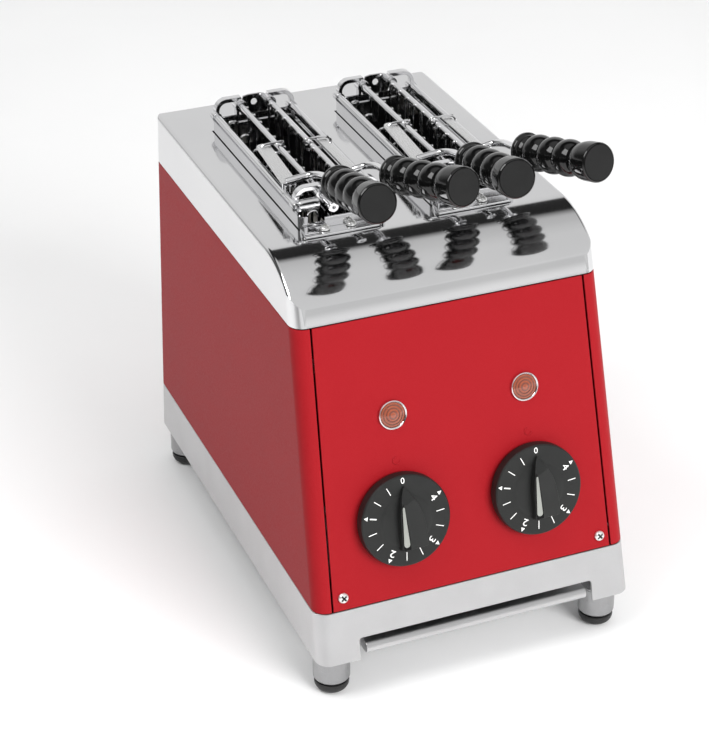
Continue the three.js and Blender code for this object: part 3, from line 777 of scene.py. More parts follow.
GLOSS_BLACK = Finish("moulded_gloss_black", "grip", (0.006, 0.006, 0.006), (0.003, 0.003, 0.003),
                     (0.06, 0.12),
                     grain=350, bump=0.04, depth=0.02, coat=0.3, coat_rough=0.05, extra=(("IOR", 1.42),))
MATT_BLACK = Finish("moulded_matt_black", "grip", (0.008, 0.008, 0.008), (0.006, 0.006, 0.006), (0.36, 0.48),
                    grain=2500, bump=0.12, depth=0.01, extra=(("IOR", 1.36),))
DIAL = Finish("dial_plastic", "dial", (0.012, 0.0125, 0.012), (0.009, 0.0095, 0.009), (0.42, 0.55),
              grain=2600, bump=0.15, depth=0.01, extra=(("IOR", 1.42),))
# Near-black with weak reflection: painted shade on the left of each dial's grip bar.
RIDGE_SHADE_BLACK = Finish("polished_black", "dial", (0.004, 0.004, 0.004), (0.003, 0.003, 0.003), (0.10, 0.16), grain=900,
             bump=0.05,
             extra=(("Specular IOR Level", 0.12),))
PRINT = Finish("white_print", "dial", tone(240, 240, 238), tone(228, 228, 226), (0.5, 0.6), grain=2500,
               bump=0.05)
RUBBER = Finish("foot_rubber", "rubber", (0.012, 0.012, 0.012), (0.007, 0.007, 0.007), (0.45, 0.6),
                grain=1800, bump=0.3, depth=0.03)
SILVER = Finish("silver_inlay", "aluminium", (0.40, 0.41, 0.38), (0.30, 0.31, 0.29), (0.3, 0.42), metal=0.75,
                grain=700, stretch=(5, 1, 1), bump=0.15, depth=0.01)
QUARTZ = Finish("frosted_quartz", "quartz", (0.78, 0.75, 0.70), (0.66, 0.63, 0.58), (0.25, 0.4), grain=400,
                bump=0.1)
MICA = Finish("insulating_block", "mica", (0.70, 0.67, 0.60), (0.60, 0.57, 0.50), (0.55, 0.75), grain=300,
              bump=0.3)
NYLON = Finish("black_nylon", "gland", (0.02, 0.02, 0.02), (0.012, 0.012, 0.012), (0.35, 0.5), grain=1500,
               bump=0.2)
FLOOR = Finish("pale_floor", "", (0.90, 0.90, 0.90), (0.88, 0.88, 0.88), (0.6, 0.7), grain=120, bump=0.02)


def dress(piece: bpy.types.Object, finish: Finish, angle: float = 32) -> bpy.types.Object:
    """Gives a piece one finish and smooth shading up to an angle in degrees.

    Args:
        piece: the piece to dress.
        finish: its finish.
        angle: edges sharper than this stay sharp.

    Returns:
        The same piece.
    """
    piece.data.materials.clear()
    piece.data.materials.append(finish.material())
    focus(piece)
    bpy.ops.object.shade_smooth_by_angle(angle=math.radians(angle))
    return apply(piece, "WEIGHTED_NORMAL", weight=100, keep_sharp=True)


def seat(piece: bpy.types.Object, body: str, finish: Finish, *nodes: str) -> bpy.types.Object:
    """Dresses a finished piece, rides it on a body and says which nodes it stands for.

    Args:
        piece: the finished piece.
        body: the body it moves with.
        finish: its finish, whose slot it takes.
        *nodes: the CAD nodes it stands for.

    Returns:
        The same piece.
    """
    if not piece.data.materials:
        dress(piece, finish)
    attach(piece, body)
    if nodes:
        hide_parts(*nodes)
    LOG.info("%s on %s for %s", piece.name, body, ", ".join(nodes) or "nothing")
    return piece


def tilt(direction: Vector, spot: Vector) -> Matrix:
    """A place whose Z axis follows a direction."""
    return Matrix.Translation(spot) @ direction.to_track_quat("Z", "Y").to_matrix().to_4x4()


# ---- base and feet -------------------------------------------------------------------------------
def leaning_block(name: str, low: float, high: float, inset: float, radius: float) -> bpy.types.Object:
    """The body's outer form between two levels: leaning front, flaring sides, round upright corners.

    Args:
        name: the piece's name.
        low: lower level in metres.
        high: upper level in metres.
        inset: how far inside the outer form, in millimetres.
        radius: of the upright corners, in millimetres.

    Returns:
        A closed block.
    """
    set_in = inset * MM
    wide, deep = PLACE.half(low) - set_in, PLACE.front(low) + set_in
    piece = block(name, Vector((-wide, deep, low)), Vector((wide, PLACE.rear - set_in, high)))
    with editing(piece, Kind.VERT):
        choose(piece, Kind.VERT, lambda v: v.co.z > (low + high) / 2)
        share = (PLACE.half(high) - set_in) / wide
        bpy.ops.transform.resize(value=(share, 1, 1), center_override=(0, 0, high))
    with editing(piece, Kind.VERT):
        choose(piece, Kind.VERT, lambda v: v.co.z > (low + high) / 2 and v.co.y < 0)
        bpy.ops.transform.translate(value=(0, PLACE.front(high) + set_in - deep, 0))
    with editing(piece, Kind.EDGE):
        choose(piece, Kind.EDGE, lambda e: abs(e.verts[0].co.z - e.verts[1].co.z) > (high - low) / 2)
        bpy.ops.mesh.bevel(offset=radius * MM, segments=10, affect="EDGES")
    return piece


def open_ends(piece: bpy.types.Object, low: bool = True, high: bool = True) -> bpy.types.Object:
    """Takes off the flat faces that look down or up.

    Args:
        piece: the block to open.
        low: takes off the bottom.
        high: takes off the top.

    Returns:
        The same piece.
    """
    with editing(piece, Kind.FACE):
        choose(piece, Kind.FACE, lambda f: (low and f.normal.z < -0.99) or (high and f.normal.z > 0.99))
        bpy.ops.mesh.delete(type="FACE")
    return piece


def walled(piece: bpy.types.Object, thickness: float) -> bpy.types.Object:
    """Gives an open skin a wall, inward, in millimetres."""
    return apply(piece, "SOLIDIFY", thickness=thickness * MM, offset=-1, use_even_offset=True)


@dataclass
class Base:
    """Aluminium base frame, its feet and the pan above the crumb tray."""

    wall: float = 2.5
    corner: float = 9.0
    notch_half: float = 79.5
    notch_height: float = 13.5
    sleeve: float = 11.7

    def frame(self) -> None:
        """Base frame with its notch and softened edges."""
        low, high = PLACE.foot_level, PLACE.shell_level
        piece = walled(open_ends(leaning_block("base_frame_skin", low, high, 0, self.corner)), self.wall)
        notch = block("notch", Vector((-self.notch_half * MM, PLACE.front(low) - 0.01, low - 0.01)),
                      Vector((self.notch_half * MM, PLACE.front(low) + 0.03, low + self.notch_height * MM)))
        with editing(notch, Kind.EDGE):
            choose(notch, Kind.EDGE, lambda e: all(v.co.z > low for v in e.verts)
                   and abs(e.verts[0].co.x - e.verts[1].co.x) < 1e-6)
            bpy.ops.mesh.bevel(offset=2 * MM, segments=5, affect="EDGES")
        carve(piece, notch)
        soften(piece, 0.55, 3, 40)
        seat(dress(piece, SATIN, 30), "body", SATIN, "base_frame")

    def feet(self) -> None:
        """Turned sleeves with rubber pads, one set modelled and copied."""
        sleeve_low, sleeve_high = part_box("foot_sleeve_front_left")
        pad_low, pad_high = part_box("foot_pad_front_left")
        tall, pad_tall = (sleeve_high.z - sleeve_low.z) / MM, (pad_high.z - pad_low.z) / MM
        r = self.sleeve
        sleeve = turned("sleeve_model", [(0, 0), (r - 2.4, 0), (r - 1.5, 0.4), (r - 0.2, 1.9), (r, 2.4),
                                         (r, tall - 1.2),
                                         (r - 0.25, tall - 0.9), (r - 0.25, tall), (0, tall)], Matrix(), 48)
        pad = turned("pad_model", [(0, 0), (4.6, 0), (6.6, 0.25), (8.4, 1.1), (9.9, 2.5), (10.8, 4.2),
                                   (11.1, 6.0),
                                   (10.9, pad_tall - 0.4), (10.5, pad_tall), (0, pad_tall)], Matrix(), 48)
        for end in ("front", "rear"):
            for hand in Hand:
                for kind, model, finish in (("sleeve", sleeve, TURNED_METAL), ("pad", pad, RUBBER)):
                    node = f"foot_{kind}_{end}_{hand.word}"
                    low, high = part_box(node)
                    spot = Vector(((low.x + high.x) / 2, (low.y + high.y) / 2, low.z))
                    copy = twin(model, f"{node}_turned", Matrix.Translation(spot))
                    seat(dress(copy, finish, 30), "body", finish, node)
        for model in (sleeve, pad):
            bpy.data.objects.remove(model, do_unlink=True)


@dataclass
class CrumbTray:
    """Sliding tray with a rolled front lip."""

    lip_half: float = 75.5
    wall: float = 1.0

    def build(self) -> None:
        """Pan with bevelled rim, and the lip in front."""
        low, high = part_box("crumb_tray")
        pan = block("tray_pan", Vector((low.x + 0.002, low.y + 0.008, low.z)),
                    Vector((high.x - 0.002, high.y, high.z - 0.0005)))
        with editing(pan, Kind.EDGE):
            choose(pan, Kind.EDGE, lambda e: abs(e.verts[0].co.z - e.verts[1].co.z) > 1e-4)
            bpy.ops.mesh.bevel(offset=3 * MM, segments=4, affect="EDGES")
        walled(open_ends(pan, low=False), self.wall)
        radius = (high.z - low.z) / 2 / MM
        profile = [(radius * math.cos(a), radius * math.sin(a)) for a in
                   (math.radians(90 + 180 * i / 16) for i in range(17))]
        outline = [(8.0, radius), *profile, (8.0, -radius)]
        along = sideways(-self.lip_half * MM, low.y + radius * MM, (low.z + high.z) / 2)
        lip = plate("tray_lip", outline, 2 * self.lip_half, along, 0.8, 3)
        piece = together("crumb_tray_bent", pan, lip)
        seat(dress(piece, SATIN, 35), "crumb_tray_drawer", SATIN, "crumb_tray")


# ---- painted body --------------------------------------------------------------------------------
@dataclass
class Body:
    """Painted shell with round corners, and the leaning panel between its seams."""

    wall: float = 1.2
    corner: float = 9.0
    seam_half: float = 88.3
    seam: float = 1.2
    reveal: float = 0.5

    def levels(self) -> Pair:
        """Lower and upper edge of the painted sheets."""
        return PLACE.shell_level + self.reveal * MM, PLACE.cover_level - self.reveal * MM

    def seam_at(self, z: float) -> float:
        """Half the panel's width at a level, in metres."""
        return self.seam_half * MM + math.tan(PLACE.flare) * (PLACE.cover_level - z)

    def slit(self, piece: bpy.types.Object, extra: float) -> None:
        """Cuts the front face along both seams, set out by some millimetres.

        Args:
            piece: the sheet to cut.
            extra: how far outside the panel's edge.
        """
        low, high = self.levels()
        for hand in Hand:
            foot = Vector((hand.value * (self.seam_at(low) + extra * MM), 0, low))
            head = Vector((hand.value * (self.seam_at(high) + extra * MM), 0, high))
            normal = (head - foot).cross(Vector((0, 1, 0))).normalized()
            with editing(piece, Kind.FACE):
                choose(piece, Kind.FACE, lambda f: f.normal.y < -0.9)
                bpy.ops.mesh.bisect(plane_co=foot, plane_no=normal)

    def shell(self) -> None:
        """Sides, rear and front corners in one bent sheet."""
        low, high = self.levels()
        piece = open_ends(leaning_block("body_shell_sheet", low, high, 0, self.corner))
        self.slit(piece, self.seam)
        with editing(piece, Kind.FACE):
            choose(piece, Kind.FACE, lambda f: f.normal.y < -0.9
                   and abs(f.calc_center_median().x) < self.seam_half * MM - 0.005)
            bpy.ops.mesh.delete(type="FACE")
        walled(piece, self.wall)
        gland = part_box("cable_gland")
        middle = (gland[0] + gland[1]) / 2
        carve(piece, round_bar("gland_hole", Vector((0, PLACE.rear - 0.01, middle.z)),
                               Vector((0, PLACE.rear + 0.01, middle.z)), 9.3, 0, 32))
        soften(piece, 0.3, 2, 50)
        seat(dress(piece, RED, 25), "body", RED, "body_shell")

    def panel(self) -> None:
        """The front panel with its lamp and shaft holes and a small raised mark above each dial."""
        low, high = self.levels()
        piece = open_ends(leaning_block("front_panel_sheet", low, high, 0, self.corner))
        self.slit(piece, 0)
        with editing(piece, Kind.FACE):
            choose(piece, Kind.FACE, lambda f: not (f.normal.y < -0.9
                   and abs(f.calc_center_median().x) < self.seam_half * MM - 0.005))
            bpy.ops.mesh.delete(type="FACE")
        walled(piece, self.wall)
        holes = []
        for hand in Hand:
            for node, radius in ((f"lamp_bezel_{hand.word}", 7.2), (f"knob_{hand.word}", 4.0)):
                spot = spot_on_panel(node)
                place = PLACE.panel(*spot)
                holes.append(round_bar("hole", place @ Vector((0, 0, -0.01)), place @ Vector((0, 0, 0.01)),
                                       radius, 0, 40))
        for hole in holes:
            carve(piece, hole)
        soften(piece, 0.3, 2, 50)
        marks = [self.mark(hand) for hand in Hand]
        piece = together("front_panel_sheet", piece, *marks)
        seat(dress(piece, RED, 30), "body", RED, "front_panel")

    def mark(self, hand: Hand) -> bpy.types.Object:
        """A small raised crescent above a dial, half sunk in the panel.

        Args:
            hand: which dial it belongs to.

        Returns:
            The raised mark.
        """
        knob_x, knob_z = spot_on_panel(f"knob_{hand.word}")
        place = PLACE.panel(knob_x - hand.value * 0.0005, knob_z + 0.0350, 0.0)
        arc = [place @ Vector((x * MM, y * MM, 0)) for x, y in bow((0, 0), 2.3, 95, 350, 20)]
        return wire(f"dial_mark_{hand.word}", arc, 0.4)


def spot_on_panel(node: str) -> Pair:
    """Where a round node's axis meets the leaning front: its X and its level.

    Args:
        node: the round node's name.

    Returns:
        Its place across the front and its level, in metres.
    """
    low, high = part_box(node)
    middle = (low + high) / 2
    normal = Vector((0, -math.cos(PLACE.lean), math.sin(PLACE.lean)))
    gap = (middle.y - PLACE.front(middle.z)) * normal.y
    return middle.x, middle.z - normal.z * gap


# ---- top cover -----------------------------------------------------------------------------------
@dataclass
class Cover:
    """Polished steel cover: flat top, big shoulder, straight band, and a slot for each tong."""

    shoulder: float = 60.0
    band: float = 11.0
    corner: float = 9.0
    edge: float = 2.6
    wall: float = 1.5

    def profile(self) -> list[Pair]:
        """Side outline in metres: Y and Z, from the front foot round to the rear foot.

        Returns:
            The outline's points in order.
        """
        low, high = PLACE.cover_level + 0.2 * MM, PLACE.top
        band_top = PLACE.cover_level + self.band * MM
        radius = self.shoulder * MM
        sweep = math.acos(1 - (high - band_top) / radius)
        centre = PLACE.front(band_top) + radius * math.sin(sweep)
        steps = 22
        arc = [(centre - radius * math.sin(a), high - radius * (1 - math.cos(a)))
               for a in (sweep * (1 - i / steps) for i in range(steps + 1))]
        return [(PLACE.front(low), low), *arc, (PLACE.rear, high), (PLACE.rear, low)]

    def build(self) -> None:
        """Bends the sheet, trims its corners, opens the slots and gives it a wall."""
        wide = PLACE.half(PLACE.cover_level) + 0.004
        outline = [(y / MM, z / MM) for y, z in self.profile()]
        piece = plate("top_cover_sheet", outline, 2 * wide / MM, sideways(-wide, 0, 0))
        for hand in Hand:
            foot = Vector((hand.value * PLACE.half(PLACE.cover_level), 0, PLACE.cover_level))
            head = Vector((hand.value * PLACE.half(PLACE.top), 0, PLACE.top))
            normal = (head - foot).cross(Vector((0, -hand.value, 0))).normalized()
            with editing(piece, Kind.FACE):
                bpy.ops.mesh.select_all(action="SELECT")
                bpy.ops.mesh.bisect(plane_co=foot, plane_no=normal, use_fill=True, clear_outer=True)
        tidy(piece)
        low = PLACE.cover_level + 0.001
        with editing(piece, Kind.EDGE):
            choose(piece, Kind.EDGE, lambda e: len(e.link_faces) == 2
                   and any(abs(f.normal.x) > 0.9 for f in e.link_faces)
                   and not all(abs(f.normal.x) > 0.9 for f in e.link_faces)
                   and max(v.co.z for v in e.verts) > low
                   and not any(f.normal.z < -0.9 for f in e.link_faces)
                   and abs(e.verts[0].co.y - e.verts[1].co.y) > 1e-6)
            choose(piece, Kind.EDGE, lambda e: all(abs(v.co.z - PLACE.top) < 1e-5 for v in e.verts)
                   and any(f.normal.y > 0.9 for f in e.link_faces))
            bpy.ops.mesh.bevel(offset=self.edge * MM, segments=5, affect="EDGES", clamp_overlap=True)
        rounding = leaning_block("rounding", PLACE.cover_level - 0.01, PLACE.top + 0.01, 0, self.corner)
        carve(piece, rounding, "INTERSECT")
        for hand in Hand:
            slot_low, slot_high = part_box(f"slot_frame_{hand.word}")
            grow = 1.4 * MM
            cutter = block("slot_cut", Vector((slot_low.x + grow, PLACE.rear - SLOT_FRONT * MM + grow,
                                               PLACE.cover_level - 0.02)),
                           Vector((slot_high.x - grow, slot_high.y - grow, PLACE.top + 0.02)))
            carve(piece, cutter)
        open_ends(piece, high=False)
        with editing(piece, Kind.FACE):
            choose(piece, Kind.FACE, self.inside_slot)
            bpy.ops.mesh.delete(type="FACE")
        tidy(piece)
        walled(piece, self.wall)
        seat(dress(piece, STEEL, 28), "body", STEEL, "top_cover")

    def inside_slot(self, f: bmesh.types.BMFace) -> bool:
        """True for the upright faces that a slot's cut left inside the cover.

        Args:
            f: a face of the cover.

        Returns:
            Whether it is a slot's wall.
        """
        spot = f.calc_center_median()
        across = abs(spot.x) < PLACE.half(PLACE.top) - 0.01
        along = PLACE.front(PLACE.top) + 0.03 < spot.y < PLACE.rear - 0.01
        return across and along and abs(f.normal.z) < 0.1


@dataclass
class SlotFrame:
    """Upright collar round a slot, the throat below it, and the screwed flange in front."""

    hand: Hand
    wall: float = 1.6
    half: float = 28.5
    rear: float = 42.0
    front: float = SLOT_FRONT
    height: float = 8.5
    sill: float = 4.0

    def ring(self, name: str, inset: float, low: float, high: float, wall: float) -> bpy.types.Object:
        """An upright rounded ring of sheet between two heights above the cover.

        Args:
            name: the piece's name.
            inset: how far inside the collar's outer face.
            low: lower edge above the cover.
            high: upper edge above the cover.
            wall: thickness of the sheet.

        Returns:
            The ring.
        """
        x = self.hand.value * SLOT_OFFSET
        piece = block(name, PLACE.at(x - self.half + inset, -self.front + inset, low),
                      PLACE.at(x + self.half - inset, -self.rear - inset, high))
        with editing(piece, Kind.EDGE):
            choose(piece, Kind.EDGE, lambda e: abs(e.verts[0].co.z - e.verts[1].co.z) > 1e-3)
            bpy.ops.mesh.bevel(offset=(5 - inset) * MM, segments=6, affect="EDGES")
        return walled(open_ends(piece), wall)

    def build(self) -> None:
        """Collar, throat, sill, flange with its long slot, and the folded tab."""
        x = self.hand.value * SLOT_OFFSET
        collar = self.ring("collar", 0, 0.3, self.height, self.wall)
        low_sill = block("sill_cut", PLACE.at(x - self.half + 5, -self.front - 2, self.sill),
                         PLACE.at(x + self.half - 5, -self.front + 8, self.height + 2))
        carve(collar, low_sill)
        soften(collar, 0.45, 2, 40)
        throat = self.ring("throat", self.wall + 0.2, -12, self.sill - 0.6, 1.0)
        outline = [*bow((x + 17.5, -216), 3, 270, 360, 4), (x + 20.5, -207.5), (x - 29, -207.5),
                   *bow((x - 28, -216), 3, 180, 270, 4)]
        flange = plate("flange", outline, 1.6, Matrix.Translation(PLACE.at(0, 0, 0.3)))
        slot = plate("flange_slot", [*bow((x - 21.5, -213.4), 1.5, 270, 450, 6),
                                     *bow((x - 27, -213.4), 1.5, 90, 270, 6)], 4,
                     Matrix.Translation(PLACE.at(0, 0, -0.5)))
        carve(flange, slot)
        soften(flange, 0.35, 2, 40)
        tab = block("tab", PLACE.at(x - 29, -217, 1.9), PLACE.at(x - 20, -208.2, 2.9), 0.35)
        fold = plate("fold", [(0, 0), (3.2, 0), (1.2, 6.5), (0, 6.5)], 34,
                     sideways((x - 14) * MM, PLACE.rear - 0.2105, PLACE.top + 0.0019), 0.3)
        piece = together(f"slot_frame_{self.hand.word}_bent", collar, throat, flange, tab, fold)
        seat(dress(piece, CHROME, 30), "body", CHROME, f"slot_frame_{self.hand.word}")
        for mark in "ab":
            self.screw(mark)

    def screw(self, mark: str) -> None:
        """A pan-head screw with a cross in the flange.

        Args:
            mark: which of the two screws.
        """
        node = f"flange_screw_{self.hand.word}_{mark}"
        low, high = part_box(node)
        spot = Vector(((low.x + high.x) / 2, (low.y + high.y) / 2, low.z))
        seat(cross_screw(f"{node}_turned", Matrix.Translation(spot), 3.2, 2.0), "body", ZINC, node)


def cross_screw(name: str, place: Matrix, radius: float, height: float) -> bpy.types.Object:
    """A domed screw head with a cross recess, dressed in nickel.

    Args:
        name: the piece's name.
        place: middle of the head's seat.
        radius: of the head.
        height: of the head.

    Returns:
        The screw head.
    """
    dome = [(0, 0), (radius, 0), (radius, height * 0.3), (radius * 0.93, height * 0.62),
            (radius * 0.72, height * 0.87),
            (radius * 0.4, height * 0.98), (0, height)]
    head = turned(name, dome, Matrix(), 32)
    for wide, deep in ((0.66, 0.17), (0.17, 0.66)):
        cutter = block("cross_cut", Vector((-wide * radius, -deep * radius, height * 0.25)) * MM,
                       Vector((wide * radius, deep * radius, height * 1.4)) * MM)
        carve(head, cutter)
    soften(head, 0.08, 2, 40)
    return dress(put(head, place @ Matrix.Rotation(CROSS_TURN, 4, "Z")), NICKEL, 35)


def cross_floor(name: str, place: Matrix, radius: float, height: float) -> bpy.types.Object:
    """A dark plate down in a screw's cross recess: painted shade for the shadow in the recess.

    Args:
        name: the piece's name.
        place: middle of the head's seat.
        radius: of the head.
        height: of the head.

    Returns:
        The painted shade in the recess.
    """
    w, d = radius * 0.63, radius * 0.155
    outline = [(-d, -w), (d, -w), (d, -d), (w, -d), (w, d), (d, d), (d, w), (-d, w), (-d, d), (-w, d),
               (-w, -d), (-d, -d)]
    turned_place = place @ Matrix.Rotation(CROSS_TURN, 4,
                                           "Z") @ Matrix.Translation((0, 0, height * 0.26 * MM))
    return plate(name, outline, height * 0.3, turned_place)


# ---- controls ------------------------------------------------------------------------------------
@dataclass
class Dial:
    """Timer dial: a disc with a low hub, a wedge-shaped grip bar, a pale pointer and its scale."""

    hand: Hand
    radius: float = 29.5
    depth: float = 7.5
    bar_height: float = 6.0
    ridge: float = 3.6
    step: float = 75.0
    numerals: tuple[str, ...] = ("0", "1", "2", "3", "4")

    def build(self) -> None:
        """Disc, bar, inlay, numerals, ticks and arrows, all turning together."""
        x, _ = spot_on_panel(f"knob_{self.hand.word}")
        place = PLACE.panel(x, PLACE.foot_level + DIAL_LEVEL, 0.001)
        body = f"knob_{self.hand.word}_turn_body"
        r, deep = self.radius, self.depth
        disc = turned("disc", [(0, 0), (r - 1.0, 0), (r - 0.2, 0.4), (r, 1.2), (r - 0.1, deep - 2.0),
                               (r - 0.5, deep - 0.7),
                               (r - 1.2, deep - 0.1), (r - 2.0, deep), (17.6, deep), (16.4, deep + 0.25),
                               (14.6, deep + 0.75), (9, deep + 1.0), (0, deep + 1.0)], place, 80)
        dress(disc, DIAL, 25)
        grip_bar = dress(self.bar(place), DIAL, 28)
        piece = together(f"knob_{self.hand.word}_moulded", disc, grip_bar)
        seat(piece, body, DIAL, f"knob_{self.hand.word}")
        seat(dress(self.inlay(place), SILVER, 30), body, SILVER, f"knob_pointer_{self.hand.word}")
        # The near-black sheet on the bar's ridge is painted shade.
        seat(dress(self.surround(place), RIDGE_SHADE_BLACK, 30), body, RIDGE_SHADE_BLACK)
        seat(dress(self.scale(place), PRINT, 30), body, PRINT)

    def bar(self, place: Matrix) -> bpy.types.Object:
        """Grip bar: pointed at the mark, steep on the left, with a ridge there and a long slope to the right.

        Args:
            place: the dial's axis on the panel.

        Returns:
            The grip bar.
        """
        outline = [(-6.0, -17.6), (-5.9, -8.0), (-5.7, 0.0), (-5.2, 7.0), (-3.9, 14.0), (-1.7, 19.6),
                   (0, 22.4), (2.0, 19.6),
                   (4.9, 15.0), (7.7, 9.4), (9.9, 3.0), (11.1, -4.0), (11.6, -11.0), (11.2, -17.4)]
        piece = plate("bar", outline[::-1], self.bar_height + 1, Matrix())
        high = self.bar_height + 1
        across, along = upright(0.04, 0), sideways(-0.03, 0, 0)
        slopes = ((across, [(-0.6, high), (13.4, 4.4), (30, 4.4), (30, 2 * high), (-0.6, 2 * high)]),
                  (along, [(12.4, high), (24, 1.6), (30, 1.6), (30, 2 * high), (12.4, 2 * high)]),
                  (along, [(-16.6, high), (-16.6, 2 * high), (-30, 2 * high), (-30, 0), (-18.6, 0)]))
        for turn, wedge in slopes:
            carve(piece, plate("slope", wedge, 80, turn))
        soften(piece, 0.45, 3, 18)
        return put(piece, place @ Matrix.Translation((0, 0, (self.depth - 1.0) * MM)))

    def inlay(self, place: Matrix) -> bpy.types.Object:
        """The pale teardrop let into the ridge.

        Args:
            place: the dial's axis on the panel.

        Returns:
            The inlay.
        """
        outline = [*bow((-self.ridge + 0.3, 10.4), 0.7, 0, 180, 6),
                   *bow((-self.ridge + 0.3, -12.8), 1.95, 180, 360, 10)]
        rise = (self.depth + self.bar_height - 0.45) * MM
        return plate(f"knob_pointer_{self.hand.word}_inlaid", outline, 0.7,
                     place @ Matrix.Translation((0, 0, rise)), 0.2)

    def surround(self, place: Matrix) -> bpy.types.Object:
        """A near-black sheet on the ridge round the inlay: painted shade for the shaded left side of the grip
        bar.

        Args:
            place: the dial's axis on the panel.

        Returns:
            The painted shade sheet.
        """
        outline = [(-5.5, -16.3), (-0.9, -16.3), (-0.9, -9), (-1.6, 2), (-2.8, 11.4), (-3.4, 12.8),
                   (-4.0, 11.4), (-5.0, 4), (-5.5, -4)]
        rise = (self.depth + self.bar_height - 0.5) * MM
        return plate(f"knob_surround_{self.hand.word}", outline, 0.58,
                     place @ Matrix.Translation((0, 0, rise)))

    def scale(self, place: Matrix) -> bpy.types.Object:
        """Numerals turned with the dial, arrows beyond them, and two ticks between each pair.

        Args:
            place: the dial's axis on the panel.

        Returns:
            All the marks as one piece.
        """
        marks = []
        for index, numeral in enumerate(self.numerals):
            angle = math.radians(index * self.step)
            spoke = place @ Matrix.Rotation(angle, 4, "Z") @ Matrix.Translation((0, 0, self.depth * MM))
            radius, size, broad = (21.7, 6.3, 1.25) if index else (25.6, 5.4, 1.0)
            stand = spoke @ Matrix.Translation((0, radius * MM, 0)) @ Matrix.Diagonal((broad, 1, 1, 1))
            marks.append(lettering(f"numeral_{numeral}", numeral, size, stand))
            if index:
                marks.append(plate("arrow", [(-1.3, 25.6), (1.3, 25.6), (0, 28.1)], 0.06, spoke))
                for third in (1, 2):
                    back = Matrix.Rotation(-math.radians(self.step * third / 3), 4, "Z")
                    tick = [(-0.24, 20.0), (0.24, 20.0), (0.24, 25.4), (-0.24, 25.4)]
                    marks.append(plate("tick", tick, 0.06, spoke_turn(spoke, place, back)))
        return together(f"knob_scale_{self.hand.word}", *marks)


def spoke_turn(spoke: Matrix, place: Matrix, turn: Matrix) -> Matrix:
    """A spoke of a dial turned about the dial's own axis."""
    return place @ turn @ place.inverted() @ spoke


@dataclass
class Lamp:
    """Amber lamp: a thin bright bezel round a ringed lens."""

    hand: Hand
    radius: float = 9.2
    lens_radius: float = 7.9

    def build(self) -> None:
        """Bezel and lens."""
        x, z = spot_on_panel(f"lamp_bezel_{self.hand.word}")
        place = PLACE.panel(x, z, 0.0003)
        r, inner = self.radius, self.lens_radius
        ring = [(inner, 0), (r, 0), (r, 0.6), (r - 0.25, 1.3), (r - 0.7, 1.55), (inner + 0.15, 1.2),
                (inner, 0.9),
                (inner, 0)]
        bezel = turned(f"lamp_bezel_{self.hand.word}_turned", ring, place, 56)
        seat(dress(bezel, CHROME, 30), "body", CHROME, f"lamp_bezel_{self.hand.word}")
        rings = [(inner - 0.05, -9.0), (inner - 0.05, 0.5), (inner - 0.6, 0.95), (inner - 1.5, 1.05),
                 (inner - 1.9, 0.8),
                 (inner - 2.3, 1.1), (inner - 3.4, 1.25), (inner - 3.8, 1.0), (inner - 4.2, 1.35),
                 (inner - 5.6, 1.7),
                 (0, 2.0)]
        lens = turned(f"lamp_lens_{self.hand.word}_moulded", [(0, -9.0), *rings], place, 56)
        centre = tuple(place @ Vector((0, 0, 0.001)))
        # The two amber tones for the rings are painted light and shade.
        finish = RingedLens(f"amber_lens_{self.hand.word}", "lamp", tone(150, 66, 32), tone(84, 44, 34),
                            (0.1, 0.22),
                            grain=500, bump=0.3, depth=0.2, coat=0.8, coat_rough=0.05, centre=centre,
                            extra=(("Subsurface Weight", 0.15),))
        seat(dress(lens, finish, 30), "body", finish, f"lamp_lens_{self.hand.word}")


def panel_screws() -> None:
    """The two cross screws in the lower corners of the panel."""
    for hand in Hand:
        node = f"panel_screw_{hand.word}"
        x = (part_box(node)[0].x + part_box(node)[1].x) / 2
        place = PLACE.panel(x, PLACE.foot_level + SCREW_LEVEL, 0.0001)
        seat(cross_screw(f"{node}_turned", place, 3.3, 2.2), "body", ZINC, node)
        # A dark plate in each cross recess: painted shade for the shadow in the recess.
        seat(cross_floor(f"{node}_recess", place, 3.3, 2.2), "body", MATT_BLACK)


